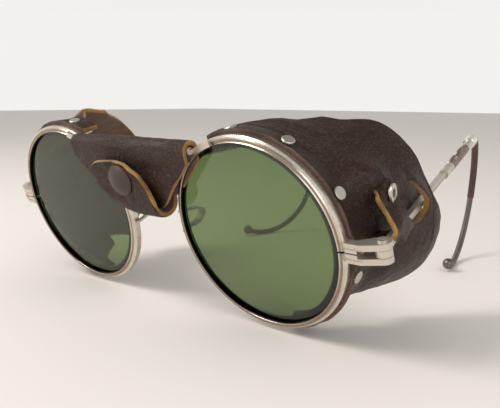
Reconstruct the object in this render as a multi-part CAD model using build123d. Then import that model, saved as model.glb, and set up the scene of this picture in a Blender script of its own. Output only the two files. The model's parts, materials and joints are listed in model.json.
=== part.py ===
from build123d import *

import os
from math import asin, atan2, cos, degrees, hypot, pi, radians, sin, sqrt

# Aviator flying goggles: two round eyewires on a leather-wrapped bridge, leather side shields and
# cable temples. Lengths are in millimetres. The pieces are drawn in the spectacle frame: x towards
# the wearer's left, y backwards from the front of the rims, z up, with x = 0 midway between the
# lenses and z = 0 at their centres. At the end everything is leaned forward until the rims and the
# balls of the ear cables stand on the floor.

# Spectacle front
lens_spacing = 72.5
rim_diameter = 52.0
rim_wall = 1.9
rim_depth = 2.6
rim_split = 0.5
bead_height = 0.35
bead_width = 0.5
ridge_groove = 0.22
lens_seat_depth = 0.75
lens_seat_width = 1.1
lens_seat_front = 0.75
lens_clearance = 0.06
lens_dome = 0.6
lens_thickness = 1.2

# Flange that carries the leather behind each rim
band_wall = 0.5
band_inset = 0.7
band_depth = 3.6
band_gap_angle = 9.0
shield_top_angle = 114.0
shield_bottom_angle = -78.0

# End pieces and hinges
plate_height = 2.3
plate_split = 0.3
plate_front = 0.3
plate_width = 2.2
hinge_reach = 7.6
hinge_back = 3.9
lug_radius = 2.0
hinge_gap = 1.9
hinge_gap_start = 3.0
plate_neck_length = 0.75
plate_groove = 0.25
plate_groove_width = 0.5
screw_radius = 0.7
screw_clearance = 0.05
screw_head_radius = 1.15
screw_head_height = 0.5
screw_slot_width = 0.35
screw_slot_depth = 0.3

# Temples
temple_height = 1.7
temple_width = 1.8
temple_flute = 0.3
neck_length = 6.0
bar_length = 56.5
spigot_radius = 0.65
spigot_length = 4.0
temple_slope = 7.0
swing_left = 12.4
swing_right = 21.5
ferrule_length = 7.0
ferrule_radius = 1.35
coil_length = 23.0
coil_turns = 12
coil_wire = 0.9
coil_wire_sides = 8
collar_length = 7.0
bead_length = 6.5
bead_radius = 1.9
core_radius = 0.55
fit_clearance = 0.04
hook_bend_radius = 11.0
hook_bend_turn = 52.0
hook_leg_radius = 31.0
hook_leg_turn = 43.0
hook_curl_radius = 20.0
hook_curl_turn = 116.0
hook_tilt = 9.5
hook_tilt_limit = 60.0
cover_radius = 1.2
cable_radius = 0.95
ball_radius = 1.9
ball_seat_share = 0.75

# Leather
leather = 1.5
soft_gap = 0.1
rivet_radius = 1.6
rivet_head = 0.5
rivet_shank_radius = 0.6
rivet_back = 4.9

# Bridge and nose leather
bridge_height = 22.0
bridge_radius = 1.0
bridge_foot_length = 7.0
bridge_foot_thickness = 0.8
guard_top_width = 45.0
guard_drop = 16.0
guard_back_drop = 12.0
roll_gap = 0.35
cap_radius = 4.4
cap_height = 2.0
pad_strip_width = 1.6
pad_strip_thickness = 0.6

cut_overrun = 1.0

half_spacing = lens_spacing / 2
rim_radius = rim_diameter / 2
opening_radius = rim_radius - rim_wall
seat_radius = opening_radius + lens_seat_depth
lens_radius = seat_radius - lens_clearance
hinge_x = half_spacing + rim_radius + hinge_reach


def both_sides(piece):
    """The wearer's left piece, drawn at +x, and its mirror image."""
    return {"left": piece, "right": mirror(piece, about=Plane.YZ)}


def at_lens(piece):
    return Pos(half_spacing, 0, 0) * piece


def turned(points):
    """A ring about the lens axis from an outline of (radius, depth) points."""
    return revolve(make_face(Polyline(*points, close=True)), Axis.Y)


def wedge(start_angle, end_angle, radius, front, back):
    """A sector of a disc about the lens axis, to cut rings with; angles from +x up to +z."""
    spread = radians(end_angle - start_angle) / 2
    reach = radius / max(cos(spread / 2), cos(pi / 4))

    def corner(angle, length):
        return (length * cos(radians(angle)), length * sin(radians(angle)))

    quarter = (end_angle - start_angle) / 4
    outline = [(0, 0)] + [corner(start_angle + quarter * step, reach) for step in range(5)]
    face = Plane.XZ * make_face(Polyline(*outline, close=True))
    return Pos(0, front, 0) * extrude(face, back - front, dir=(0, 1, 0))


# Rims and lenses

ridge_start = opening_radius + bead_width
ridge_end = rim_radius - bead_width
rim_outline = [
    (opening_radius, bead_height),
    (opening_radius + bead_width / 2, 0),
    (ridge_start, bead_height),
    (ridge_start + ridge_groove, bead_height / 2),
    (ridge_end - ridge_groove, bead_height / 2),
    (ridge_end, bead_height + ridge_groove),
    (ridge_end + ridge_groove / 2, bead_height + ridge_groove),
    (rim_radius, 2 * bead_height + ridge_groove),
    (rim_radius, rim_depth),
    (opening_radius, rim_depth),
    (opening_radius, lens_seat_front + lens_seat_width),
    (seat_radius, lens_seat_front + lens_seat_width * 3 / 4),
    (seat_radius, lens_seat_front + lens_seat_width / 4),
    (opening_radius, lens_seat_front),
]
split_cut = Pos(rim_radius, rim_depth / 2, 0) * Box(rim_radius, 2 * rim_depth, rim_split)
rim = at_lens(turned(rim_outline) - split_cut)


def disc(radius, front, back):
    """A disc about the lens axis between two depths."""
    return Pos(0, (front + back) / 2, 0) * Rot(90, 0, 0) * Cylinder(radius, back - front)


def lens_shape():
    """A shallow domed glass of even thickness whose edge sits in the rim's groove."""
    front = lens_seat_front + lens_seat_width / 4 + lens_clearance
    back = lens_seat_front + lens_seat_width * 3 / 4 - lens_clearance
    clear = opening_radius - lens_clearance
    curve = (clear**2 + lens_dome**2) / (2 * lens_dome)
    centre = Pos(0, front - lens_dome + curve, 0)
    glass = disc(clear, front - 2 * lens_dome, front + lens_thickness) & (centre * Sphere(curve))
    glass -= centre * Sphere(curve - lens_thickness)
    return glass + disc(lens_radius, front, back)


lens = at_lens(lens_shape())

# Flange behind the rim, in two stretches that leave the hinge and the nose side free

band_outer = rim_radius - band_inset
band_inner = band_outer - band_wall
band_back = rim_depth + band_depth
band_outline = [
    (band_inner, rim_depth),
    (band_outer, rim_depth),
    (band_outer, band_back),
    (band_inner, band_back),
]


def arc_stretch(ring, start_angle, end_angle):
    return ring & wedge(start_angle, end_angle, 2 * rim_radius, -rim_depth, 3 * rim_radius)


band_ring = turned(band_outline)
band_upper = at_lens(arc_stretch(band_ring, band_gap_angle, shield_top_angle))
band_lower = at_lens(arc_stretch(band_ring, shield_bottom_angle, -band_gap_angle))

# End pieces: two plates that close the split rim, with the hinge lug between them

hinge = Location((hinge_x, hinge_back, 0))
plate_foot = Pos(half_spacing + rim_radius, plate_front + plate_width / 2) * Rectangle(
    2 * hinge_gap_start, plate_width
)
plate_neck = Pos(half_spacing + rim_radius + hinge_gap_start, plate_front + plate_width / 2)
plate_neck *= Rectangle(2 * plate_neck_length, plate_width)
plate_lug = Pos(hinge_x, hinge_back) * Circle(lug_radius)
plate_outline = plate_foot + make_hull((plate_neck + plate_lug).edges())


def end_plate(side):
    """Upper (+1) or lower (-1) half plate of an end piece."""
    low = plate_split / 2
    rim_edge = half_spacing + rim_radius
    slab = Pos(0, 0, low) * extrude(plate_outline, plate_height)
    if side < 0:
        slab = Pos(0, 0, -low - plate_height) * extrude(plate_outline, plate_height)
    gap_length = 2 * hinge_reach
    gap = Pos(rim_edge + hinge_gap_start + gap_length / 2, hinge_back, 0) * Box(
        gap_length, 4 * lug_radius, hinge_gap
    )
    groove = Pos(rim_edge + hinge_reach / 2, 0, side * (low + plate_height / 2)) * Box(
        4 * hinge_reach, 2 * (plate_front + plate_groove), plate_groove_width
    )
    hole = hinge * Cylinder(screw_radius + screw_clearance / 2, 4 * plate_height)
    return slab - gap - groove - hole - at_lens(disc(rim_radius, -rim_depth, 4 * rim_depth))


plate_top = plate_split / 2 + plate_height


def hinge_screw():
    """Screw through both plates, its dished head on the upper one."""
    shank = Cylinder(screw_radius, 2 * plate_top)
    head = Pos(0, 0, plate_top + screw_head_height / 2) * Cylinder(
        screw_head_radius, screw_head_height
    )
    slot = Pos(0, 0, plate_top + screw_head_height) * Box(
        2 * screw_head_radius + cut_overrun, screw_slot_width, 2 * screw_slot_depth
    )
    return hinge * (shank + head - slot)


# Temples, drawn along +y from the hinge at the origin

bar_frame = Pos(0, neck_length, 0) * Rot(-temple_slope, 0, 0)
ferrule_from = bar_length - spigot_length / 2
coil_from = ferrule_from + ferrule_length
collar_from = coil_from + coil_length
bead_from = collar_from + collar_length
hook_from = bead_from + bead_length


def along(length, radius, start, bore=0):
    """A round piece along the bar's line, with its bore."""
    turned_piece = Cylinder(radius, length)
    if bore:
        turned_piece -= Cylinder(bore, length + cut_overrun)
    return Pos(0, start + length / 2, 0) * Rot(90, 0, 0) * turned_piece


def temple_bar():
    """Hinge butt, neck and fluted half-round bar, with a turned spigot at its end."""
    butt = Cylinder(lug_radius - fit_clearance, temple_height)
    neck = Pos(0, neck_length / 2, 0) * Box(temple_width, neck_length, temple_height)
    bore = Cylinder(screw_radius + screw_clearance, 2 * temple_height)
    half_width = temple_width / 2
    half_height = temple_height / 2
    section = [
        (-half_width, -half_height),
        (half_width - temple_flute, -half_height),
        (half_width, -half_height / 2),
        (half_width, -temple_flute / 2),
        (half_width - temple_flute, 0),
        (half_width, temple_flute / 2),
        (half_width, half_height / 2),
        (half_width - temple_flute, half_height),
        (-half_width, half_height),
    ]
    face = Plane.XZ * make_face(Polyline(*section, close=True))
    bar = extrude(face, bar_length - spigot_length, dir=(0, 1, 0))
    spigot = along(spigot_length, spigot_radius, bar_length - spigot_length)
    return butt + neck - bore + bar_frame * (bar + spigot)


def ferrule():
    start = bar_length - spigot_length
    length = ferrule_length + spigot_length / 2
    bore = spigot_radius + fit_clearance
    tube = along(length, ferrule_radius, start, bore)
    waist = along(length / 4, ferrule_radius + fit_clearance, start + length / 2)
    waist -= along(length / 4, ferrule_radius - temple_flute / 2, start + length / 2)
    return bar_frame * (tube - waist)


def coil_path():
    """One helix about the bar's line, as tangent arcs of a quarter turn."""
    radius = core_radius + fit_clearance + coil_wire / 2
    rise = (coil_length - coil_wire) / coil_turns
    slope = rise / (2 * pi * radius)
    length = sqrt(1 + slope * slope)

    def place(turn):
        angle = 2 * pi * turn
        height = coil_from + coil_wire / 2 + rise * turn
        return Vector(radius * cos(angle), height, -radius * sin(angle))

    def heading(turn):
        angle = 2 * pi * turn
        return Vector(-sin(angle), slope, -cos(angle)) * (1 / length)

    arcs = []
    for quarter in range(4 * coil_turns):
        start, end = place(quarter / 4), place((quarter + 1) / 4)
        first, last = heading(quarter / 4), heading((quarter + 1) / 4)
        chord = end - start
        both = first + last
        spread = 2 * (1 - first.dot(last))
        reach = (sqrt(chord.dot(both) ** 2 + spread * chord.dot(chord)) - chord.dot(both)) / spread
        middle = (start + first * reach + end - last * reach) * 0.5
        arcs.append(TangentArc(start, middle, tangent=first))
        arcs.append(TangentArc(middle, end, tangent=arcs[-1] % 1))
    return Wire(arcs), place(0), heading(0), rise


def cable_coil():
    path, start, direction, rise = coil_path()
    section = Plane(origin=start, z_dir=direction) * RegularPolygon(coil_wire / 2, coil_wire_sides)
    print("coil: pitch", round(rise, 3), "least gap to itself", round(rise - coil_wire, 3))
    return bar_frame * sweep(section, path=path)


def hook_arcs():
    """The ear hook's line in the bar's plane: a bend, a leg and the curl round the ear."""
    bend = JernArc((hook_from, 0), (1, 0), hook_bend_radius, -hook_bend_turn)
    leg = JernArc(bend @ 1, bend % 1, hook_leg_radius, -hook_leg_turn)
    curl = JernArc(leg @ 1, leg % 1, hook_curl_radius, -hook_curl_turn)
    return bend, leg, curl


hook_bend, hook_leg, hook_curl = hook_arcs()
hook_tip = hook_curl @ 1


def hook_frame(tilt):
    """The plane of the hook: local x along the bar, local y up, leaned inwards at the tip."""
    return bar_frame * Rot(0, tilt, 0) * Location(Plane.YZ)


def hook_tube(arc, turn, radius, bore=0):
    """A round tube bent along one arc of the hook."""
    section = Circle(radius)
    if bore:
        section -= Circle(bore)
    section = Plane(origin=arc @ 0, z_dir=arc % 0) * section
    return revolve(section, Axis(arc.arc_center, (0, 0, -1)), turn)


def core_wire(tilt):
    """Wire core, from inside the ferrule to the ball."""
    start = bar_length + fit_clearance
    wire = along(hook_from - start, core_radius, start)
    bent = hook_tube(hook_bend, hook_bend_turn, core_radius)
    bent += hook_tube(hook_leg, hook_leg_turn, core_radius)
    bent += hook_tube(hook_curl, hook_curl_turn, core_radius)
    return bar_frame * wire + hook_frame(tilt) * bent


def cable_cover(tilt):
    """Covering of the bend and the leg of the hook."""
    bore = core_radius + fit_clearance
    cover = hook_tube(hook_bend, hook_bend_turn, cover_radius, bore)
    return hook_frame(tilt) * (cover + hook_tube(hook_leg, hook_leg_turn, cover_radius, bore))


def ear_cable(tilt):
    """Bare cable of the curl."""
    bore = core_radius + fit_clearance
    return hook_frame(tilt) * hook_tube(hook_curl, hook_curl_turn, cable_radius, bore)


def ball_tip(tilt):
    """A ball with a blind bore for the cable's end, turned about the cable's line."""
    bore = cable_radius + fit_clearance
    centre = ball_radius * ball_seat_share
    mouth = centre - sqrt(ball_radius**2 - bore**2)
    widest = (ball_radius, centre)
    nose = (0, centre + ball_radius)
    outline = [
        Polyline(nose, (0, fit_clearance), (bore, fit_clearance), (bore, mouth)),
        RadiusArc((bore, mouth), widest, -ball_radius),
        RadiusArc(widest, nose, -ball_radius),
    ]
    ball = revolve(Plane.XZ * make_face(outline), Axis.Z)
    return hook_frame(tilt) * (Plane(origin=hook_tip, z_dir=hook_curl % 1) * ball)


def tip_place(tilt, swing):
    """Depth and height of the ball's centre in the spectacle frame, on the wearer's left."""
    centre = hook_tip + (hook_curl % 1) * (ball_radius * ball_seat_share)
    placed = Rot(0, 0, swing) * hook_frame(tilt) * Pos(centre.X, centre.Y, 0)
    return hinge_back + placed.position.Y, placed.position.Z


# Forward lean that stands the rims and the left ball on one floor
tip_back, tip_up = tip_place(hook_tilt, swing_left)
reach = hypot(tip_back, tip_up + rim_radius)
lean = degrees(asin(ball_radius / reach) - atan2(tip_up + rim_radius, tip_back))


def floor_error(tilt):
    """How far above the floor the right ball hangs when its hook is tilted."""
    back, up = tip_place(tilt, swing_right)
    return back * sin(radians(lean)) + (up + rim_radius) * cos(radians(lean)) - ball_radius


# The right hook is twisted outwards until its ball stands on the same floor
low_tilt, high_tilt = -hook_tilt_limit, 0.0
for _ in range(40):
    middle_tilt = (low_tilt + high_tilt) / 2
    if (floor_error(middle_tilt) > 0) == (floor_error(high_tilt) > 0):
        high_tilt = middle_tilt
    else:
        low_tilt = middle_tilt
hook_tilt_right = (low_tilt + high_tilt) / 2
print("lean", round(lean, 3), "right hook tilt", round(hook_tilt_right, 3))
print("right ball above the floor", round(floor_error(hook_tilt_right), 6))

# Leather side shields, lofted through sections that follow the rim and then the temple bar

shield_outer = band_outer + soft_gap + leather
shield_from = rim_depth + soft_gap
shield_depth = 43.0
slot_from = 24.6
slot_width = 8.0
slot_height = 14.0
slot_drop = 0.5
slot_tilt = 30.0
slot_run = 9.3
slot_front_gap = 0.3
slot_rear_gap = 0.3
shield_end_gap = 1.0
keeper_thickness = 1.2
eyelet_along = 13.4
eyelet_up = 7.6
eyelet_radius = 2.3
eyelet_bore = 1.1
eyelet_rim = 0.45
tab_radius = 4.3
loop_length = 12.5
loop_from = 7.0
loop_room = 0.2
shield_top_shares = (1.0, 0.99, 0.975, 0.95)
shield_bottom_shares = (1.0, 1.10, 1.22, 1.20)
shield_top_angles = (114.0, 110.0, 103.0, 95.0)
shield_bottom_angles = (-78.0, -66.0, -50.0, -42.0)
shield_side_angles = (18.0, -4.0, -6.0, -8.0)


def bar_at(depth, swing):
    """Distance of the bar's centre line from the lens axis, at a depth behind the rims."""
    return hinge_x - half_spacing - (depth - hinge_back) * sin(radians(swing)) / cos(radians(swing))


def polar(radius, angle):
    return (half_spacing + radius * cos(radians(angle)), radius * sin(radians(angle)))


def band_section(depth, top, side, bottom):
    """Closed strip of leather thickness along the arc through three points, at a depth."""
    outer = ThreePointArc(top, side, bottom)
    centre = outer.arc_center
    share = (outer.radius - leather) / outer.radius

    def inward(point):
        return centre + (Vector(*point) - centre) * share

    inner = ThreePointArc(inward(bottom), inward(side), inward(top))
    strip = make_face([outer, Line(bottom, inner @ 0), inner, Line(inner @ 1, top)])
    return Plane.XZ.offset(-depth) * strip


def side_shield(swing):
    half_bar = temple_width / 2 / cos(radians(swing)) + soft_gap
    slot_rear = slot_from + slot_run
    depths = (shield_from, slot_from, slot_rear, shield_depth)
    side_reaches = (
        shield_outer,
        bar_at(slot_from, swing) - half_bar - slot_front_gap,
        bar_at(slot_rear, swing) + half_bar + leather + slot_rear_gap,
        bar_at(shield_depth, swing) + half_bar + leather + shield_end_gap,
    )
    sections = []
    for step, depth in enumerate(depths):
        top = polar(shield_outer * shield_top_shares[step], shield_top_angles[step])
        side = polar(side_reaches[step], shield_side_angles[step])
        bottom = polar(shield_outer * shield_bottom_shares[step], shield_bottom_angles[step])
        sections.append(band_section(depth, top, side, bottom))
    return loft(sections)


# Side view of the leather's edge: shares of its depth, and of its radius above the lens axis
shield_edge_shares = (
    (0.0, 1.02),
    (0.30, 1.06),
    (0.52, 0.98),
    (0.66, 0.84),
    (0.78, 0.68),
    (0.825, 0.42),
    (0.83, 0.12),
    (0.86, -0.06),
    (0.93, -0.24),
    (0.99, -0.42),
    (1.0, -0.56),
    (0.98, -0.70),
    (0.92, -0.83),
    (0.80, -0.95),
    (0.48, -1.15),
    (0.0, -1.25),
)

# Plan of the cuts at the nose side: shares of the rim's radius, and of the rim's whole depth
upper_cut_shares = ((-0.35, 1.2), (0.0, 2.0), (0.28, 4.4), (0.36, 2 * shield_depth / band_back))
lower_cut_shares = ((0.2, 1.4), (0.42, 2.6), (0.6, 5.2), (0.66, 2 * shield_depth / band_back))


def shield_keep():
    """Side view of the leather, as a prism along x."""
    points = [(shield_depth * back, shield_outer * up) for back, up in shield_edge_shares]
    face = Plane.YZ * make_face([Spline(*points), Line(points[-1], points[0])])
    return extrude(face, 4 * lens_spacing, both=True)


def nose_side_cut(shares, low, high):
    """Plan cut that leaves the leather shallow towards the nose."""
    points = [(half_spacing + rim_radius * out, band_back * back) for out, back in shares]
    corners = [(-rim_radius, points[0][1]), *points, (-rim_radius, points[-1][1])]
    return extrude(Pos(0, 0, low) * make_face(Polyline(*corners, close=True)), high - low)


rivet_angles = (100.0, 63.0, 27.0, -19.0, -58.0)
rivet_seat = shield_outer - 3 * soft_gap
rivet_hole = rivet_shank_radius + fit_clearance
clinch_height = 0.3
clinch_radius = 1.0


def radial(piece, angle):
    """A piece drawn along +z from the lens axis, turned to an angle on the rim's flange."""
    return at_lens(Pos(0, rivet_back, 0) * Rot(0, 90 - angle, 0) * piece)


def rivet_cut(angle):
    """Hole for the shank, and the dimple that the head presses into the leather."""
    hole = Cylinder(rivet_hole, 2 * rim_radius, align=(Align.CENTER, Align.CENTER, Align.MIN))
    dimple = Cylinder(
        rivet_radius + soft_gap, rim_radius, align=(Align.CENTER, Align.CENTER, Align.MIN)
    )
    return radial(hole + Pos(0, 0, rivet_seat - soft_gap / 2) * dimple, angle)


def rivet(angle):
    """Shank through leather and flange, flat head outside and clinched end inside."""
    low = band_inner - clinch_height
    shank = Pos(0, 0, (low + rivet_seat) / 2) * Cylinder(rivet_shank_radius, rivet_seat - low)
    head = Pos(0, 0, rivet_seat + rivet_head / 2) * Cylinder(rivet_radius, rivet_head)
    head = chamfer(head.edges().filter_by(GeomType.CIRCLE).sort_by(Axis.Z)[-1], rivet_head / 3)
    clinch = Pos(0, 0, low) * Cylinder(clinch_radius, clinch_height)
    return radial(shank + head + clinch, angle)


def shield_band():
    """Both stretches of the flange, with the rivet holes."""
    band = band_upper + band_lower
    hole = Cylinder(rivet_hole, rim_diameter, align=(Align.CENTER, Align.CENTER, Align.MIN))
    for angle in rivet_angles:
        band -= radial(hole, angle)
    return band


slot_middle = slot_from + slot_width / 2 - slot_drop
slot_face = Plane.YZ * (
    Pos(slot_middle, -slot_drop)
    * Rot(0, 0, 90 + slot_tilt)
    * SlotOverall(slot_height, slot_width)
)
slot_cut = extrude(slot_face, 2 * hinge_x, dir=(1, 0, 0))
upper_cut = nose_side_cut(upper_cut_shares, 0, rim_diameter)
lower_cut = nose_side_cut(lower_cut_shares, -rim_diameter, 0)
notch_back = hinge_back + soft_gap
plate_notch = Pos(half_spacing + rim_radius, notch_back, 0) * Box(
    2 * hinge_reach,
    2 * notch_back,
    2 * plate_top + 4 * soft_gap,
    align=(Align.CENTER, Align.MAX, Align.CENTER),
)


def bar_room(swing):
    """The space that the bar needs where it passes the leather."""
    width = temple_width + 2 * soft_gap
    height = temple_height + 2 * soft_gap
    room = Pos(0, bar_length / 2, 0) * Box(width, bar_length, height)
    return hinge * Rot(0, 0, swing) * bar_frame * room


def finished_shield(swing):
    shield = side_shield(swing) & shield_keep()
    shield = shield - upper_cut - lower_cut - slot_cut - plate_notch - bar_room(swing)
    shield -= at_lens(disc(band_outer + soft_gap / 2, 0, band_back + soft_gap))
    for angle in rivet_angles:
        shield -= rivet_cut(angle)
    return shield


# Keeper: a leather tab with an eyelet, looped round the bar just behind the hinge


def tab_place(swing):
    """Frame on the tab's outer face beside the bar: x outwards, y along the bar, z up."""
    return hinge * Rot(0, 0, swing) * Pos(-temple_width / 2 - loop_room, 0, 0)


def keeper(swing):
    """Tab against the shield and the loop that the bar passes through, at rest."""
    centre = loop_from + loop_length / 2
    outline = make_hull(
        (
            Pos(eyelet_along, eyelet_up) * Circle(tab_radius)
            + Pos(centre, 0) * Rectangle(loop_length, temple_height)
        ).edges()
    )
    tab = extrude(Plane.YZ * outline, keeper_thickness, dir=(-1, 0, 0))
    tab -= Pos(0, eyelet_along, eyelet_up) * Rot(0, 90, 0) * Cylinder(
        eyelet_bore + eyelet_rim + fit_clearance, 4 * keeper_thickness
    )
    room_x = temple_width + 2 * loop_room
    room_z = temple_height + 2 * loop_room
    ring = Box(room_x + 2 * keeper_thickness, loop_length, room_z + 2 * keeper_thickness)
    ring = fillet(ring.edges().filter_by(Axis.Y), keeper_thickness)
    ring -= Box(room_x, 2 * loop_length, room_z)
    ring = hinge * Rot(0, 0, swing) * bar_frame * Pos(0, centre - neck_length, 0) * ring
    return tab_place(swing) * tab + ring


def eyelet(swing):
    """Turned grommet through the tab, with a flange on each face."""
    length = keeper_thickness + 2 * fit_clearance
    grommet = Cylinder(eyelet_bore + eyelet_rim, length)
    grommet += Pos(0, 0, (length + eyelet_rim) / 2) * Cylinder(eyelet_radius, eyelet_rim)
    grommet -= Cylinder(eyelet_bore, 4 * length)
    centre = Pos(-keeper_thickness / 2, eyelet_along, eyelet_up)
    return tab_place(swing) * centre * Rot(0, 90, 0) * grommet


# Bridge: a round bar whose flat feet are lapped on the rims' front faces

bar_depth = -(bridge_radius + bead_height / 2)
foot_middle = 180 - degrees(asin(bridge_height / rim_radius))
foot_half_angle = degrees(bridge_foot_length / 2 / rim_radius)


def bridge():
    length = 2 * (half_spacing - rim_radius * cos(radians(180 - foot_middle)))
    bar = Pos(0, bar_depth, bridge_height) * Rot(0, 90, 0) * Cylinder(bridge_radius, length)
    foot_outline = [
        (opening_radius + bead_width / 2, -bridge_foot_thickness),
        (rim_radius, -bridge_foot_thickness),
        (rim_radius, 0),
        (opening_radius + bead_width / 2, 0),
    ]
    sector = wedge(
        foot_middle - 2 * foot_half_angle,
        foot_middle + foot_half_angle,
        2 * rim_radius,
        -rim_depth,
        rim_depth,
    )
    feet = both_sides(at_lens(turned(foot_outline) & sector))
    return bar + feet["left"] + feet["right"]


# Nose leather: a saddle folded over the bridge bar, and the flap that snaps on its front

roll_inner = bridge_radius + roll_gap
roll_outer = roll_inner + leather
guard_shift = -1.0
snap_room = 1.2
flap_gap = 0.3
panel_front = bar_depth - roll_outer
panel_back = bar_depth - roll_inner
flap_back = panel_front - snap_room
flap_front = flap_back - leather
back_inner = bar_depth + roll_inner
back_outer = bar_depth + roll_outer
fold_centre = (flap_front + back_outer) / 2
fold_outer = (back_outer - flap_front) / 2
fold_inner = fold_outer - leather
fold_height = 8.0
flap_width = 20.0
flap_top = 20.5
snap_side = -1.0
snap_height = 14.5

# Front panel's two edges from the top down: shares of its half width and of its drop
guard_right_edge_shares = ((-1.0, 0.0), (-0.98, 0.10), (-0.80, 0.45), (-0.54, 0.80), (-0.23, 1.0))
guard_left_edge_shares = ((0.37, 1.0), (0.58, 0.78), (0.74, 0.43), (1.0, 0.12), (1.0, 0.0))
back_width_share = 0.84
back_shoulder_share = 0.30
# Flap's edge: shares of its half width and of its height
flap_edge_shares = (
    (-1.0, 0.0),
    (-1.02, 0.55),
    (-0.92, 0.94),
    (-0.2, 1.0),
    (0.5, 0.80),
    (0.9, 0.40),
    (1.0, 0.0),
)


def hanging_panel(outline, front, back):
    """A sheet cut to an outline in x and z, lying between two depths."""
    face = Plane.XZ * make_face(outline)
    return extrude(Pos(0, front, 0) * face, back - front, dir=(0, 1, 0))


def front_panel():
    def corner(share):
        return (guard_top_width / 2 * share[0], bridge_height - guard_drop * share[1])

    right = [corner(share) for share in guard_right_edge_shares]
    left = [corner(share) for share in guard_left_edge_shares]
    outline = [
        Line(right[0], right[1]),
        Spline(*right[1:]),
        Line(right[-1], left[0]),
        Spline(*left[:-1]),
        Line(left[-2], left[-1]),
        Line(left[-1], right[0]),
    ]
    return hanging_panel(outline, panel_front, panel_back)


def rim_clearance():
    """Room that the leather leaves round both rims, from their front faces backwards."""
    room = disc(rim_radius + 3 * soft_gap, -3 * soft_gap, 3 * rim_depth)
    sides = both_sides(at_lens(room))
    return sides["left"] + sides["right"]


def foot_clearance():
    """Room that the leather leaves round the bridge's feet."""
    margin = degrees(soft_gap / rim_radius)
    start = foot_middle - 2 * foot_half_angle - margin
    end = foot_middle + foot_half_angle + margin
    front = -bridge_foot_thickness - soft_gap
    sides = both_sides(at_lens(wedge(start, end, rim_radius + soft_gap, front, rim_depth)))
    return sides["left"] + sides["right"]


def back_panel():
    half_top = guard_top_width / 2 * back_width_share
    half_strap = flap_width / 2
    shoulder = fold_height + guard_back_drop * back_shoulder_share
    outline = Polyline(
        (-half_top, bridge_height),
        (-half_strap, shoulder),
        (-half_strap, fold_height),
        (half_strap, fold_height),
        (half_strap, shoulder),
        (half_top, bridge_height),
        close=True,
    )
    return hanging_panel(outline, back_inner, back_outer)


def roll():
    tube = Cylinder(roll_outer, guard_top_width) - Cylinder(roll_inner, 2 * guard_top_width)
    tube = Pos(0, bar_depth, bridge_height) * Rot(0, 90, 0) * tube
    room = Pos(0, bar_depth, bridge_height - roll_outer) * Box(
        2 * guard_top_width, 4 * roll_outer, 2 * roll_outer
    )
    return tube - room


def strap_fold():
    """The strap's turn under the saddle, from its back panel forward to the flap."""
    turn = Cylinder(fold_outer, flap_width) - Cylinder(fold_inner, 2 * flap_width)
    turn = Pos(0, fold_centre, fold_height) * Rot(0, 90, 0) * turn
    upper = Pos(0, fold_centre, fold_height + fold_outer) * Box(
        2 * flap_width, 4 * fold_outer, 2 * fold_outer
    )
    return turn - upper


snap_frame = Pos(snap_side, 0, snap_height) * Rot(90, 0, 0)
nub_radius = 1.6
nub_room = 0.15
socket_radius = 3.4
socket_thickness = 0.6
stud_thickness = 0.4
post_radius = 0.9


def snap_disc(radius, front, back):
    """A disc of the snap fastener between two depths."""
    return snap_frame * Pos(0, 0, -(front + back) / 2) * Cylinder(radius, back - front)


def nose_guard():
    saddle = Pos(guard_shift, 0, 0) * (front_panel() + roll() + back_panel())
    hole = post_radius + fit_clearance
    post_hole = snap_disc(hole, panel_front - leather, panel_back + leather)
    return saddle - rim_clearance() - foot_clearance() - post_hole


def nose_flap():
    low = fold_height + flap_gap
    points = [(flap_width / 2 * out, low + (flap_top - low) * up) for out, up in flap_edge_shares]
    face = [Spline(*points), Line(points[-1], points[0])]
    flap = Pos(guard_shift, 0, 0) * hanging_panel(face, flap_front, flap_back)
    hole = post_radius + fit_clearance
    return flap - snap_disc(hole, flap_front - leather, flap_back + leather)


def snap_cap():
    """Domed cap with a rolled rim and the post that holds it through the flap."""
    dome_radius = (cap_radius**2 + cap_height**2) / (2 * cap_height)
    ball = Pos(0, 0, -flap_front - dome_radius + cap_height) * Sphere(dome_radius)
    keep = Pos(0, 0, -flap_front) * Cylinder(
        2 * cap_radius, cap_height, align=(Align.CENTER, Align.CENTER, Align.MIN)
    )
    dome = snap_frame * (ball & keep)
    rim_ring = snap_disc(cap_radius, flap_front - rivet_head / 2, flap_front)
    post = snap_disc(post_radius, flap_front, flap_back + rivet_head / 2)
    return dome + rim_ring + post


def snap_socket():
    ring = snap_disc(socket_radius, flap_back, flap_back + socket_thickness)
    bore = nub_radius + nub_room
    return ring - snap_disc(bore, flap_back - socket_thickness, flap_back + 2 * socket_thickness)


def snap_stud():
    flange = snap_disc(socket_radius, panel_front - stud_thickness, panel_front)
    nub = snap_disc(nub_radius, flap_back + rivet_head / 2 + fit_clearance, panel_front)
    post = snap_disc(post_radius, panel_front, panel_back)
    clinch = snap_disc(nub_radius, panel_back, panel_back + stud_thickness)
    return flange + nub + post + clinch


# Strap loops that rest on the nose

pad_root = 2.9
pad_end = 1.4
pad_reach = 6.2
pad_bend_share = 0.7


def nose_pad():
    """A flat strip bent to a hairpin, soldered by both ends to the rim's nose side."""
    start = rim_depth / 2
    line = FilletPolyline(
        (start, pad_root),
        (start + pad_reach, pad_end + pad_strip_thickness),
        (start + pad_reach + 2 * pad_end, 0),
        (start + pad_reach, -pad_end - pad_strip_thickness),
        (start, -pad_root),
        radius=pad_end * pad_bend_share,
    )
    strip = Plane.YZ * trace(line, pad_strip_thickness)
    inner = half_spacing - rim_radius - pad_strip_width + pad_strip_thickness
    strip = extrude(Pos(inner, 0, 0) * strip, pad_strip_width + pad_strip_thickness, dir=(1, 0, 0))
    return strip - at_lens(disc(rim_radius, -rim_depth, 2 * rim_depth))


# Assembly

temple_tilts = {"left": hook_tilt, "right": hook_tilt_right}
swings = {"left": swing_left, "right": swing_right}
pieces = {}


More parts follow.
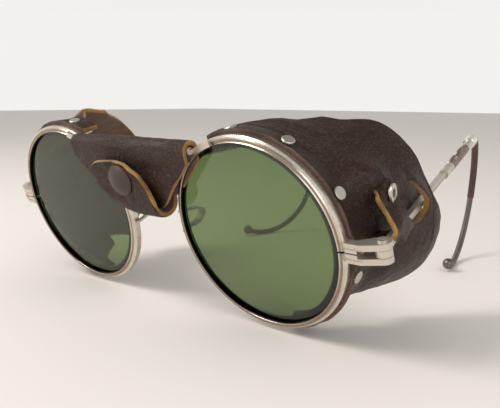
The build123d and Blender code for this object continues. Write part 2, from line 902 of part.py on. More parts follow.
def on_side(side, name, piece):
    """Keep a left-hand piece under its side's name, mirrored for the right."""
    pieces[f"{name}_{side}"] = piece if side == "left" else mirror(piece, about=Plane.YZ)


for side, swing in swings.items():
    tilt = temple_tilts[side]
    on_side(side, "rim", rim)
    on_side(side, "lens", lens)
    on_side(side, "shield_band", shield_band())
    on_side(side, "end_plate_upper", end_plate(1))
    on_side(side, "end_plate_lower", end_plate(-1))
    on_side(side, "hinge_screw", hinge_screw())
    on_side(side, "side_shield", finished_shield(swing))
    on_side(side, "shield_rivets", Compound([rivet(angle).solid() for angle in rivet_angles]))
    on_side(side, "nose_pad", nose_pad())
    on_side(side, "keeper", keeper(swing))
    on_side(side, "eyelet", eyelet(swing))
    swung = hinge * Rot(0, 0, swing)
    collar_bore = core_radius + fit_clearance
    collar = along(collar_length, cable_radius + coil_wire / 2, collar_from, collar_bore)
    bead = Pos(0, bead_from + bead_length / 2, 0) * Rot(90, 0, 0) * (
        (Cylinder(bead_radius, bead_length) & Sphere(hypot(bead_length / 2, cable_radius)))
        - Cylinder(collar_bore, 2 * bead_length)
    )
    on_side(side, "temple_bar", swung * temple_bar())
    on_side(side, "ferrule", swung * ferrule())
    on_side(side, "cable_coil", swung * cable_coil())
    on_side(side, "cable_collar", swung * bar_frame * collar)
    on_side(side, "cable_bead", swung * bar_frame * bead)
    on_side(side, "cable_core", swung * core_wire(tilt))
    on_side(side, "cable_cover", swung * cable_cover(tilt))
    on_side(side, "ear_cable", swung * ear_cable(tilt))
    on_side(side, "ball_tip", swung * ball_tip(tilt))

pieces["bridge"] = bridge()
pieces["nose_guard"] = nose_guard()
pieces["nose_strap"] = Pos(guard_shift, 0, 0) * strap_fold()
pieces["nose_flap"] = nose_flap()
pieces["snap_cap"] = snap_cap()
pieces["snap_socket"] = snap_socket()
pieces["snap_stud"] = snap_stud()

leaned = {name: Rot(lean, 0, 0) * piece for name, piece in pieces.items()}
boxes = [piece.bounding_box() for piece in leaned.values()]
lift = Pos(
    -(min(box.min.X for box in boxes) + max(box.max.X for box in boxes)) / 2,
    -(min(box.min.Y for box in boxes) + max(box.max.Y for box in boxes)) / 2,
    -min(box.min.Z for box in boxes),
)
stand = lift * Rot(lean, 0, 0)


def show_point(label, place):
    """Print a point of the spectacle frame where it stands in the finished part."""
    point = (stand * place).position
    print(label, round(point.X, 4), round(point.Y, 4), round(point.Z, 4))


os.makedirs("parts", exist_ok=True)
for name, piece in leaned.items():
    export_step(lift * piece, f"parts/{name}.step")

overall = [
    max(getattr(box.max, axis) for box in boxes) - min(getattr(box.min, axis) for box in boxes)
    for axis in "XYZ"
]
print("size", [round(length, 3) for length in overall])
flap_middle = (flap_front + flap_back) / 2
hook_heart = Pos(hook_tip.X + ball_radius, hook_tip.Y / 2)
show_point("origin", Pos(0, 0, 0))
show_point("lens left", Pos(half_spacing, 0, 0))
show_point("hinge left", hinge)
show_point("hinge right", Pos(-hinge_x, hinge_back, 0))
show_point("flap hinge", Pos(0, flap_middle, fold_height))
for side, swing in swings.items():
    mirrored = 1 if side == "left" else -1
    centre = tab_place(swing) * Pos(-keeper_thickness / 2, eyelet_along, eyelet_up)
    heart = hinge * Rot(0, 0, swing) * hook_frame(temple_tilts[side]) * hook_heart
    for label, place in (("eyelet", centre.position), ("hook", heart.position)):
        show_point(f"{label} {side}", Pos(mirrored * place.X, place.Y, place.Z))
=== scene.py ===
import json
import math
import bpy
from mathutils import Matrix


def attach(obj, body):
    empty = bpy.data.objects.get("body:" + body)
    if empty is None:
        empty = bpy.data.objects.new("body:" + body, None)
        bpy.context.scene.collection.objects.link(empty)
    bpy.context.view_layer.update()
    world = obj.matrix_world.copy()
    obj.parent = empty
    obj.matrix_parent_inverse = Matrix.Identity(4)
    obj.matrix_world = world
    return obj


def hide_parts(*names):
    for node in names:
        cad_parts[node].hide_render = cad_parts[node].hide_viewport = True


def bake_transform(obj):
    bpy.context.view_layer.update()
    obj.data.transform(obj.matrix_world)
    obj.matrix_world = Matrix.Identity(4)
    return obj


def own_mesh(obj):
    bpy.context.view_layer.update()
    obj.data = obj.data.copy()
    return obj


bl_info = {
    "name": "Aviator goggles",
    "version": (1, 0, 0),
    "blender": (4, 5, 0),
    "location": "View3D > Sidebar > Goggles",
    "description": "Leather, metal, glass and cable finish for a pair of flying goggles",
    "category": "Object",
}

import bpy
import numpy as np
from mathutils import Matrix, Vector, noise

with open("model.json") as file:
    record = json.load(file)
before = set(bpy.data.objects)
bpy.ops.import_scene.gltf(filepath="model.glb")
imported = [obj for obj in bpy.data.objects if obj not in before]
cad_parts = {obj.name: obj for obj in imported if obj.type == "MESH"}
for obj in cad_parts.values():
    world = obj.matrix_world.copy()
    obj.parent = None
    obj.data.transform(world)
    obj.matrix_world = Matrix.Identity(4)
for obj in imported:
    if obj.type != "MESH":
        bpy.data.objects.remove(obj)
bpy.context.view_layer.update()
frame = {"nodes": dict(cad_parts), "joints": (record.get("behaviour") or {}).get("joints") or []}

MM = 0.001
SIDES = {"left": 1, "right": -1}
JOINTS = {joint["name"]: joint for joint in frame["joints"]}

# Sizes of the model, in millimetres, in the spectacle frame: x to the wearer's left, y back, z up
HINGE_X = 69.85
HINGE_BACK = 3.9
HALF_SPACING = 36.25
RIM_RADIUS = 26.0
GLASS_RADIUS = 24.1
GROOVE_FROM, GROOVE_TO, GROOVE_BLUR = 24.65, 25.35, 0.12
SHIELD_OUTER = 26.9
SHIELD_FROM = 2.7
SHIELD_DEPTH = 43.0
BAND_BACK = 6.2
BAR_HALF_WIDTH = 0.9
NECK_LENGTH = 6.0
TEMPLE_SLOPE = math.radians(7.0)
BAR_DEPTH = -1.175
BRIDGE_HEIGHT = 22.0
SWINGS = {"left": math.radians(12.4), "right": math.radians(21.5)}


def frame_matrix():
    """Turns and moves spectacle-frame points, in millimetres, into the row frame, in metres."""
    joint = JOINTS["temple_fold_left"]
    lean = math.atan2(-joint["axis"][1], joint["axis"][2])
    turn = Matrix.Rotation(lean, 4, "X")
    back = turn @ Vector((0, 1, 0))
    left, right = (Vector(JOINTS[f"temple_fold_{side}"]["pos_m"]) for side in SIDES)
    origin = (left + right) / 2 - back * HINGE_BACK * MM
    return Matrix.Translation(origin) @ turn @ Matrix.Scale(MM, 4)


PLACE = frame_matrix()
TURN = PLACE.to_3x3().normalized()
BACKWARDS = TURN @ Vector((0, 1, 0))
# Black painted on the rims' inner walls as painted shade
PAINTED_SHADE_BLACK = (0.012, 0.010, 0.009, 1)


def temple_matrix(side):
    """Frame of a temple on its hinge: x outwards, y along the temple, z up, in millimetres."""
    mirror = Matrix.Diagonal((SIDES[side], 1, 1, 1))
    hinge = Matrix.Translation((HINGE_X, HINGE_BACK, 0))
    return PLACE @ mirror @ hinge @ Matrix.Rotation(SWINGS[side], 4, "Z")


def bar_matrix(side):
    """Frame of the bar behind the temple's neck, sloping down to the ear."""
    neck = Matrix.Translation((0, NECK_LENGTH, 0)) @ Matrix.Rotation(-TEMPLE_SLOPE, 4, "X")
    return temple_matrix(side) @ neck


# Curves through tables of points


def eased(table, value):
    """Value of a smooth curve through (input, output) pairs, without overshoot."""
    xs = np.array([pair[0] for pair in table], float)
    ys = np.array([pair[1] for pair in table], float)
    value = np.clip(value, xs[0], xs[-1])
    steps = np.diff(ys) / np.diff(xs)
    slopes = np.concatenate(([steps[0]], (steps[:-1] + steps[1:]) / 2, [steps[-1]]))
    turning = np.concatenate(([False], steps[:-1] * steps[1:] <= 0, [False]))
    slopes[turning] = 0
    at = np.clip(np.searchsorted(xs, value, side="right") - 1, 0, len(steps) - 1)
    span = xs[at + 1] - xs[at]
    t = (value - xs[at]) / span
    start = (1 + 2 * t) * (1 - t) ** 2 * ys[at] + t * (1 - t) ** 2 * span * slopes[at]
    end = t * t * (3 - 2 * t) * ys[at + 1] + t * t * (t - 1) * span * slopes[at + 1]
    return start + end


def bump(value, centre, width, power=2):
    """A smooth hill of height 1, with a flatter top the higher the power."""
    return math.exp(-(((value - centre) / width) ** power))


def hill(shape, value):
    """A hill given as (height, place, width)."""
    return shape[0] * bump(value, *shape[1:])


def hills(table, depth, across):
    """Sum of hills given as (height, depth, its width, place across, its width)."""
    return sum(h * bump(depth, a, b) * bump(across, c, d) for h, a, b, c, d in table)


def clamped(value):
    return min(1.0, max(0.0, value))


def soft_step(value, low, high):
    t = clamped((value - low) / (high - low))
    return t * t * (3 - 2 * t)


def spread(low, high, count):
    """Evenly spaced numbers, both ends included."""
    return [low + (high - low) * step / (count - 1) for step in range(count)]


def ring_points(radius, count):
    """Points round a circle, as (cosine, sine) times the radius."""
    turns = [2 * math.pi * step / count for step in range(count)]
    return [(radius * math.cos(turn), radius * math.sin(turn)) for turn in turns]


# Objects and meshes


EDGE_SWELL = 0.12


def new_object(name, data):
    thing = bpy.data.objects.new(name, data)
    bpy.context.scene.collection.objects.link(thing)
    return thing


def sheet_object(name, rows, thickness, finishes, outside=0.0):
    """A closed leather sheet from rows of points in metres, the grain on the side they turn to.

    The share of the thickness that lies outside the given surface comes from outside.
    """
    grid = np.array(rows)
    normals = np.cross(*(np.gradient(grid, axis=axis) for axis in (0, 1)))
    normals /= np.linalg.norm(normals, axis=2, keepdims=True)
    outer = grid + normals * thickness * outside
    inner = grid - normals * thickness * (1 - outside)
    return walled_object(name, outer, inner, finishes, thickness)


def walled_object(name, outer, inner, finishes, thickness):
    """A closed sheet between two grids of points, with cut edges that swell a little.

    The finishes are for the outside, the inside, the cut edges and, if given, the first row's edge.
    A UV map runs along the sheet both ways in metres.
    """
    outer, inner = np.array(outer), np.array(inner)
    count, width = outer.shape[:2]
    points = np.concatenate((outer.reshape(-1, 3), inner.reshape(-1, 3)))
    total = count * width
    starts = [i * width + j for i in range(count - 1) for j in range(width - 1)]
    quads = [(start, start + width, start + width + 1, start + 1) for start in starts]
    faces = quads + [tuple(total + k for k in reversed(face)) for face in quads]
    finish = [0] * len(quads) + [1] * len(quads)
    ring = [(0, j) for j in range(width)] + [(i, width - 1) for i in range(1, count)]
    ring += [(count - 1, j) for j in range(width - 2, -1, -1)]
    ring += [(i, 0) for i in range(count - 2, 0, -1)]
    front = 3 if len(finishes) > 3 else 2
    inside = [(min(max(i, 1), count - 2), min(max(j, 1), width - 2)) for i, j in ring]
    middle = np.array([(outer[at] + inner[at]) / 2 for at in ring])
    away = middle - np.array([(outer[at] + inner[at]) / 2 for at in inside])
    away /= np.linalg.norm(away, axis=1, keepdims=True)
    points = np.concatenate((points, middle + away * EDGE_SWELL * thickness))
    steps = len(ring)
    for k, (i, j) in enumerate(ring):
        after = (k + 1) % steps
        a, b = i * width + j, ring[after][0] * width + ring[after][1]
        mid_a, mid_b = 2 * total + k, 2 * total + after
        faces += [(a, b, mid_b, mid_a), (mid_a, mid_b, total + b, total + a)]
        finish += [front if k < width - 1 else 2] * 2
    mesh = bpy.data.meshes.new(name)
    mesh.from_pydata([tuple(point) for point in points], [], faces)
    span = np.linalg.norm(np.diff(outer, axis=1), axis=2)
    run = np.linalg.norm(np.diff(outer, axis=0), axis=2)
    across = np.concatenate((np.zeros((count, 1)), np.cumsum(span, axis=1)), axis=1)
    across -= across[:, width // 2 : width // 2 + 1]
    along = np.concatenate((np.zeros((1, width)), np.cumsum(run, axis=0)))
    flat = np.stack((across.ravel(), along.ravel()), axis=1)
    edge = np.array([flat[i * width + j] for i, j in ring])
    places = np.concatenate((flat, flat, edge))
    corners = np.array([loop.vertex_index for loop in mesh.loops])
    mesh.uv_layers.new(name="Surface").data.foreach_set("uv", places[corners].ravel())
    for material in finishes:
        mesh.materials.append(material)
    mesh.polygons.foreach_set("material_index", finish)
    mesh.polygons.foreach_set("use_smooth", [True] * len(faces))
    mesh.validate()
    return new_object(name, mesh)


def settle(thing):
    """Applies the object's modifiers to its mesh; a curve gives a new mesh object."""
    graph = bpy.context.evaluated_depsgraph_get()
    mesh = bpy.data.meshes.new_from_object(thing.evaluated_get(graph), depsgraph=graph)
    if thing.type != "MESH":
        name = thing.name
        bpy.data.objects.remove(thing)
        return new_object(name, mesh)
    thing.modifiers.clear()
    thing.data = mesh
    return thing


def cut(thing, cutter):
    """Cuts one closed mesh out of another, the cut faces in the cutter's finish."""
    boolean = thing.modifiers.new("Cut", "BOOLEAN")
    boolean.operation = "DIFFERENCE"
    boolean.solver = "EXACT"
    boolean.material_mode = "TRANSFER"
    boolean.object = cutter
    settle(thing)
    bpy.data.objects.remove(cutter)
    return thing


def prism(name, outline, matrix, low, high, finish):
    """A closed prism from an outline in (y, z), between two x values, placed by a matrix."""
    count = len(outline)
    ends = [[matrix @ Vector((x, y, z)) for y, z in outline] for x in (low, high)]
    faces = [tuple(reversed(range(count))), tuple(range(count, 2 * count))]
    faces += [(i, (i + 1) % count, count + (i + 1) % count, count + i) for i in range(count)]
    mesh = bpy.data.meshes.new(name)
    mesh.from_pydata(ends[0] + ends[1], [], faces)
    mesh.materials.append(finish)
    mesh.update()
    if sum((f.center - ends[0][0]).dot(f.normal) * f.area for f in mesh.polygons) < 0:
        mesh.flip_normals()
    return new_object(name, mesh)


# Node trees


# Values that stand for the kinds of a group's sockets
SURFACE = {"Color": (0, 0, 0, 1), "Roughness": 0.5, "Normal": (0, 0, 0)}
SHAPE = {"Geometry": None}


def feed(tree, node, sockets):
    """Gives a node's inputs, by name or number, their values or the links that feed them."""
    for key, value in sockets.items():
        if isinstance(value, bpy.types.NodeSocket):
            tree.links.new(value, node.inputs[key])
        else:
            node.inputs[key].default_value = value


def add(tree, kind, sockets=None, **values):
    """Adds a node. A value goes to the input of that name, or else to the property."""
    node = tree.nodes.new(kind)
    for key, value in values.items():
        label = key.replace("_", " ")
        if label in node.inputs:
            feed(tree, node, {label: value})
        else:
            setattr(node, key, value)
    feed(tree, node, sockets or {})
    return node


def mixed(tree, factor, first, second):
    """A mix of two colours."""
    node = add(tree, "ShaderNodeMix", data_type="RGBA")
    feed(tree, node, {0: factor, 6: first, 7: second})
    return node.outputs[2]


def ranged(tree, value, low, high, to_low=0.0, to_high=1.0):
    """A value carried from one range to another and clamped to it."""
    limits = {"From Min": low, "From Max": high, "To Min": to_low, "To Max": to_high}
    return add(tree, "ShaderNodeMapRange", {"Value": value, **limits}).outputs["Result"]


def maths(tree, operation, first, second):
    return add(tree, "ShaderNodeMath", {0: first, 1: second}, operation=operation).outputs[0]


def vector_maths(tree, operation, *given, output=0):
    node = add(tree, "ShaderNodeVectorMath", dict(enumerate(given)), operation=operation)
    return node.outputs[output]


def texture(tree, kind, place, output, **values):
    """One output of a texture at a place."""
    return add(tree, f"ShaderNodeTex{kind}", **values, Vector=place).outputs[output]


def relief(tree, height, strength, distance):
    """A bumped normal, the distance in metres."""
    node = add(tree, "ShaderNodeBump", Strength=strength, Distance=distance, Height=height)
    return node.outputs["Normal"]


def socket_kind(label, value):
    """Kind of a group's socket, from its first value or, where that is None, from its label."""
    if value is None:
        return f"NodeSocket{label}"
    if isinstance(value, tuple):
        return "NodeSocketColor" if len(value) == 4 else "NodeSocketVector"
    return "NodeSocketInt" if isinstance(value, int) else "NodeSocketFloat"


def node_group(name, kind, inputs, outputs):
    """An empty node group with named sockets, with what it is given and its output node."""
    group = bpy.data.node_groups.new(name, kind)
    for way, sockets in (("INPUT", inputs), ("OUTPUT", outputs)):
        for label, value in sockets.items():
            kind = socket_kind(label, value)
            socket = group.interface.new_socket(name=label, in_out=way, socket_type=kind)
            if way == "INPUT" and value is not None:
                socket.default_value = value
    return group, group.nodes.new("NodeGroupInput").outputs, group.nodes.new("NodeGroupOutput")


# Node groups for what repeats


def stand_copies(group, given, result, heading, joined=None, **sockets):
    """Stands copies on points along a heading, and joins them to what is there."""
    facing = add(group, "FunctionNodeAlignRotationToVector", axis="Z", Vector=heading)
    copies = add(group, "GeometryNodeInstanceOnPoints", **sockets, Rotation=facing.outputs[0])
    real = add(group, "GeometryNodeRealizeInstances", {0: copies.outputs[0]}).outputs[0]
    last = add(group, "GeometryNodeSetMaterial", Geometry=real, Material=given["Material"])
    if joined:
        both = add(group, "GeometryNodeJoinGeometry")
        for part in (last.outputs[0], joined):
            group.links.new(part, both.inputs[0])
        last = both
    feed(group, result, {0: last.outputs[0]})
    return group


def winding_group():
    """Turns of wire, one at each step along a curve."""
    sizes = {"Pitch": 0.4 * MM, "Radius": 0.9 * MM, "Wire Radius": 0.2 * MM}
    inputs = {**SHAPE, **sizes, "Material": None}
    group, given, result = node_group("Winding", "GeometryNodeTree", inputs, SHAPE)
    line, pitch = given["Geometry"], given["Pitch"]
    steps = add(group, "GeometryNodeResampleCurve", mode="LENGTH", Curve=line, Length=pitch)
    turn, section = (
        add(group, "GeometryNodeCurvePrimitiveCircle", Resolution=count, Radius=given[label])
        for count, label in ((18, "Radius"), (8, "Wire Radius"))
    )
    curves = {"Curve": turn.outputs["Curve"], "Profile Curve": section.outputs["Curve"]}
    ring = add(group, "GeometryNodeCurveToMesh", curves).outputs["Mesh"]
    heading = add(group, "GeometryNodeInputTangent").outputs[0]
    places = steps.outputs["Curve"]
    return stand_copies(group, given, result, heading, Points=places, Instance=ring)


def fuzz_group():
    """Short loose fibres on the faces of one material slot, added to the mesh."""
    sizes = {"Density": 2.0e6, "Slot": 2, "Length": 0.7 * MM, "Radius": 0.03 * MM}
    inputs = {**SHAPE, **sizes, "Material": None}
    group, given, result = node_group("Fuzz", "GeometryNodeTree", inputs, SHAPE)
    mesh = given["Geometry"]
    index = add(group, "GeometryNodeInputMaterialIndex").outputs[0]
    chosen = add(group, "FunctionNodeCompare", data_type="INT", operation="EQUAL")
    feed(group, chosen, {2: index, 3: given["Slot"]})
    points = add(group, "GeometryNodeDistributePointsOnFaces", Mesh=mesh)
    feed(group, points, {"Selection": chosen.outputs[0], "Density": given["Density"]})
    fibre = add(group, "GeometryNodeMeshCone", Vertices=3, Radius_Bottom=given["Radius"])
    feed(group, fibre, {"Depth": given["Length"]})
    scatter = add(group, "FunctionNodeRandomValue", data_type="FLOAT_VECTOR")
    feed(group, scatter, {0: (-0.8, -0.8, -0.8), 1: (0.8, 0.8, 0.8)})
    lean = vector_maths(group, "ADD", points.outputs["Normal"], scatter.outputs[0])
    size = add(group, "FunctionNodeRandomValue", {2: 0.3, 3: 1.0}, data_type="FLOAT").outputs[1]
    copies = {"Points": points.outputs["Points"], "Instance": fibre.outputs["Mesh"]}
    return stand_copies(group, given, result, lean, mesh, **copies, Scale=size)


REPEATS = {"Winding": winding_group, "Fuzz": fuzz_group}


def repeat(thing, name, **values):
    """Runs a node group on an object and keeps the result as its plain mesh."""
    group = bpy.data.node_groups.get(name) or REPEATS[name]()
    modifier = thing.modifiers.new(name, "NODES")
    modifier.node_group = group
    for socket in group.interface.items_tree:
        label = socket.name.lower().replace(" ", "_")
        if socket.in_out == "INPUT" and label in values:
            modifier[socket.identifier] = values[label]
    return settle(thing)


def fuzz(leather, finish):
    """Loose fibres on a leather piece's cut edges."""
    look = bpy.context.scene.goggles_leather
    return repeat(leather, "Fuzz", density=look.fibres, material=finish)


# Effects of the materials: colour, roughness and normal


def tarnish_group():
    """Worn metal: brown tarnish in corners, soft patches and fine scratches."""
    colours = {"Bright": (0.7, 0.64, 0.56, 1), "Tarnish": (0.16, 0.09, 0.05, 1)}
    inputs = {**colours, "Amount": 0.5, "Roughness": 0.25}
    group, given, result = node_group("Tarnish", "ShaderNodeTree", inputs, SURFACE)
    place = add(group, "ShaderNodeTexCoord").outputs["Object"]
    corner = add(group, "ShaderNodeAmbientOcclusion", samples=8, Distance=0.9 * MM)
    hidden = ranged(group, corner.outputs["AO"], 0.35, 0.85, 1.0, 0.0)
    patches = texture(group, "Noise", place, "Fac", Scale=420.0, Detail=6.0, Roughness=0.65)
    specks = texture(group, "Noise", place, "Fac", Scale=2600.0, Detail=3.0)
    patch = ranged(group, patches, 0.42, 0.68)
    dirt = maths(group, "MAXIMUM", hidden, maths(group, "MULTIPLY", patch, 0.45))
    dirt = maths(group, "MULTIPLY", dirt, given["Amount"])
    speck = ranged(group, specks, 0.55, 0.75, 0.0, 0.35)
    rough = maths(group, "ADD", given["Roughness"], maths(group, "MULTIPLY", dirt, 0.4))
    rough = maths(group, "ADD", rough, maths(group, "MULTIPLY", speck, 0.3))
    colour = mixed(group, dirt, given["Bright"], given["Tarnish"])
    feed(group, result, {0: colour, 1: rough, 2: relief(group, specks, 0.25, 0.03 * MM)})
    return group


def grain_group():
    """Smooth hide: pebbled grain, long creases along the sheet, high spots lighter as wear and as
    painted highlight.
    """
    colours = {"Dark": (0.03, 0.016, 0.014, 1), "Light": (0.1, 0.06, 0.05, 1)}
    numbers = {"Pebble": 1500.0, "Crease": 0.6, "Roughness": 0.44}
    inputs = {**colours, **numbers, "Stretch": (1.0, 0.42, 1.0)}
    group, given, result = node_group("Grain", "ShaderNodeTree", inputs, SURFACE)
    coordinates = add(group, "ShaderNodeTexCoord").outputs
    place, flat = coordinates["Object"], coordinates["UV"]
    finer = maths(group, "MULTIPLY", given["Pebble"], 2.3)
    pebble, fine = (
        texture(group, "Voronoi", place, "Distance", feature="SMOOTH_F1", **shape)
        for shape in (
            {"Smoothness": 0.6, "Scale": given["Pebble"]},
            {"Smoothness": 0.5, "Scale": finer},
        )
    )
    warp = texture(group, "Noise", flat, "Color", Scale=140.0, Detail=2.0)
    flat = vector_maths(group, "MULTIPLY_ADD", warp, (2.2 * MM, 2.2 * MM, 0), flat)
    flat = vector_maths(group, "MULTIPLY", flat, given["Stretch"])
    edges = {"feature": "DISTANCE_TO_EDGE", "Scale": 1500.0}
    crease = ranged(group, texture(group, "Voronoi", flat, "Distance", **edges), 0.0, 0.16)
    area = texture(group, "Noise", place, "Fac", Scale=95.0, Detail=3.0)
    patch = ranged(group, area, 0.38, 0.62)
    depth = maths(group, "MULTIPLY", patch, given["Crease"])
    lines = maths(group, "MULTIPLY", maths(group, "SUBTRACT", crease, 1.0), depth)
    grains = maths(group, "MULTIPLY", maths(group, "SUBTRACT", 0.5, pebble), 0.8)
    grains = maths(group, "ADD", grains, maths(group, "MULTIPLY", fine, -0.3))
    height = maths(group, "ADD", lines, grains)
    # Lighter crests: wear, and painted highlight on the high spots
    crest_wear_and_highlight = ranged(group, height, -0.2, 0.35)
    crest_wear_and_highlight = maths(group, "MULTIPLY", crest_wear_and_highlight, ranged(group, area, 0.3, 0.75, 0.15, 0.9))
    colour = mixed(group, crest_wear_and_highlight, given["Dark"], given["Light"])
    rough = maths(group, "ADD", given["Roughness"], maths(group, "MULTIPLY", patch, 0.12))
    feed(group, result, {0: colour, 1: rough, 2: relief(group, height, 0.8, 0.2 * MM)})
    return group


def nap_group():
    """Fibrous cut or suede surface."""
    colours = {"Dark": (0.1, 0.04, 0.012, 1), "Light": (0.3, 0.14, 0.04, 1)}
    inputs = {**colours, "Fibre": 1800.0, "Depth": 0.6}
    group, given, result = node_group("Nap", "ShaderNodeTree", inputs, SURFACE)
    place = add(group, "ShaderNodeTexCoord").outputs["Object"]
    fibre = texture(group, "Noise", place, "Fac", Detail=8.0, Roughness=0.75, Scale=given["Fibre"])
    cloud = texture(group, "Noise", place, "Fac", Scale=160.0, Detail=3.0)
    tone = maths(group, "ADD", fibre, maths(group, "MULTIPLY", cloud, 0.8))
    colour = mixed(group, ranged(group, tone, 0.65, 1.15), given["Dark"], given["Light"])
    rough = ranged(group, fibre, 0.3, 0.7, 0.75, 0.95)
    feed(group, result, {0: colour, 1: rough, 2: relief(group, fibre, given["Depth"], 0.2 * MM)})
    return group


EFFECTS = {"Tarnish": tarnish_group, "Grain": grain_group, "Nap": nap_group}


def finish_from(name, group, inputs, sockets):
    """A material whose colour, roughness and normal come from one of the effect groups."""
    if name in bpy.data.materials:
        return bpy.data.materials[name]
    material = bpy.data.materials.new(name)
    material.use_nodes = True
    tree = material.node_tree
    shader = tree.nodes["Principled BSDF"]
    effect = tree.nodes.new("ShaderNodeGroup")
    effect.node_tree = bpy.data.node_groups.get(group) or EFFECTS[group]()
    feed(tree, effect, inputs)
    feed(tree, shader, {**sockets, "Base Color": effect.outputs["Color"]})
    feed(tree, shader, {key: effect.outputs[key] for key in ("Roughness", "Normal")})
    return material


def opaque(colour, share=1.0):
    """A colour as a socket takes it, darkened or lightened by a share."""
    return (*(part * share for part in colour), 1.0)


# Settings


def colour_setting(name, description, *default):
    return bpy.props.FloatVectorProperty(
        name=name, description=description, subtype="COLOR", default=default
    )


def amount_setting(name, description, default, unit="LENGTH"):
    return bpy.props.FloatProperty(name=name, description=description, default=default, unit=unit)


class GogglesLeather(bpy.types.PropertyGroup):
    """Leather sizes and colours."""

    thickness: amount_setting("Thickness", "Thickness of the hide", 1.5 * MM)
    strap_thickness: amount_setting("Strap thickness", "Thickness of the nose leather", 1.15 * MM)
    tab_thickness: amount_setting("Tab thickness", "Thickness of the keeper tabs", 1.2 * MM)
    fibres: amount_setting(
        "Fibres", "Loose fibres on the cut edges, per square metre", 3.0e6, "NONE"
    )
    dark: colour_setting("Grain", "Colour of the grain side", 0.026, 0.0105, 0.0062)
    # Colour of the high spots: wear, and painted highlight
    crest_wear_and_highlight: colour_setting("Worn grain", "Colour of worn high spots", 0.19, 0.115, 0.088)
    suede: colour_setting("Suede", "Colour of the flesh side", 0.20, 0.075, 0.022)
    edge: colour_setting("Raw edge", "Colour of cut edges", 0.50, 0.26, 0.06)


class GogglesMetal(bpy.types.PropertyGroup):
    """Metal and cable finish."""

    bright: colour_setting("Bright", "Colour of clean nickel silver", 0.76, 0.69, 0.60)
    tarnish: colour_setting("Tarnish", "Colour of the tarnish", 0.20, 0.12, 0.065)
    enamel: colour_setting("Enamel", "Colour of the snap's cap", 0.62, 0.51, 0.50)
    cover: colour_setting("Cable cover", "Colour of the cover", 0.075, 0.038, 0.030)
    cable_wire: amount_setting("Cable wire", "Radius of the wire wound round the cable", 0.19 * MM)


class GogglesGlass(bpy.types.PropertyGroup):
    """Tinted glass."""

    tint: colour_setting("Tint", "Tint at each surface of the glass", 0.17, 0.25, 0.10)
    # The glass's dark bevel is painted shade: its shift and its width
    edge_shade_shift: amount_setting(
        "Edge shift", "Shift of the dark bevel to the wearer's left", 0.7 * MM
    )
    edge_band: amount_setting("Edge band", "Width of the dark bevel at the edge", 1.25 * MM)


class GogglesStage(bpy.types.PropertyGroup):
    """Floor, lamps and camera."""

    floor: colour_setting("Floor", "Colour of the floor", 0.82, 0.77, 0.72)
    backdrop: colour_setting("Backdrop", "Colour of the backdrop", 0.90, 0.88, 0.86)
    ceiling: colour_setting("Ceiling", "Colour above, seen in the metal", 0.16, 0.155, 0.15)
    lens: amount_setting(
        "Focal length", "Focal length on a 36 mm sensor, in millimetres", 46.85, "NONE"
    )
    key: amount_setting("Key lamp", "Power of the key lamp", 3.2, "POWER")
    fill: amount_setting("Fill lamp", "Power of the fill lamp", 0.8, "POWER")


# Finishes


# The rim's inner wall, painted black as painted shade: where it ends outside the glass, and its
# soft edge
WALL_SHADE_REACH, WALL_SHADE_BLUR, GROOVE_DIRT = 0.3, 0.15, 0.75
# Soft edge and darkness of the glass's painted shade band, its index, and how much light its shadow
# lets through
BEVEL_BLUR, BEVEL_SHADE, GLASS_INDEX, GLASS_SHADOW = 0.25, 0.04, 1.5, 1.3


def leather_finishes(context):
    """Grain, suede, raw edge and dyed edge."""
    look = context.scene.goggles_leather
    soft = {"Sheen Weight": 0.3, "Sheen Roughness": 0.6}
    naps = (
        ("brown_suede", 0.35, look.suede, look.suede, 1800.0, soft),
        ("raw_edge", 0.35, look.edge, look.edge, 2600.0, {"Sheen Weight": 0.2}),
        ("dyed_edge", 0.5, look.dark, look.crest_wear_and_highlight, 2600.0, {}),
    )
    # The grain's light colour is wear and painted highlight on the crests
    colours = {"Dark": opaque(look.dark), "Light": opaque(look.crest_wear_and_highlight)}
    finishes = [finish_from("brown_grain", "Grain", colours, {"Specular IOR Level": 0.34})]
    for name, share, dark, light, fibre, sockets in naps:
        inputs = {"Dark": opaque(dark, share), "Light": opaque(light), "Fibre": fibre}
        finishes.append(finish_from(name, "Nap", inputs, sockets))
    return finishes


def metal_finish(context, name="nickel_silver", amount=0.55, roughness=0.24, bright=None):
    look = context.scene.goggles_metal
    inputs = {
        "Bright": opaque(bright or look.bright),
        "Tarnish": opaque(look.tarnish),
        "Amount": amount,
        "Roughness": roughness,
    }
    return finish_from(name, "Tarnish", inputs, {"Metallic": 1.0})


def snap_finish(context):
    enamel = context.scene.goggles_metal.enamel
    colours = {"Bright": opaque(enamel), "Tarnish": opaque(enamel, 0.4)}
    inputs = {**colours, "Amount": 0.5, "Roughness": 0.3}
    return finish_from("snap_enamel", "Tarnish", inputs, {"Metallic": 0.8})


def lens_radius(tree, x):
    """Distance in metres from the axis through an x of the spectacle frame, as a socket."""
    place = add(tree, "ShaderNodeTexCoord").outputs["Object"]
    offset = vector_maths(tree, "SUBTRACT", place, PLACE @ Vector((x, 0, 0)))
    across = vector_maths(tree, "CROSS_PRODUCT", offset, BACKWARDS)
    return vector_maths(tree, "LENGTH", across, output="Value")


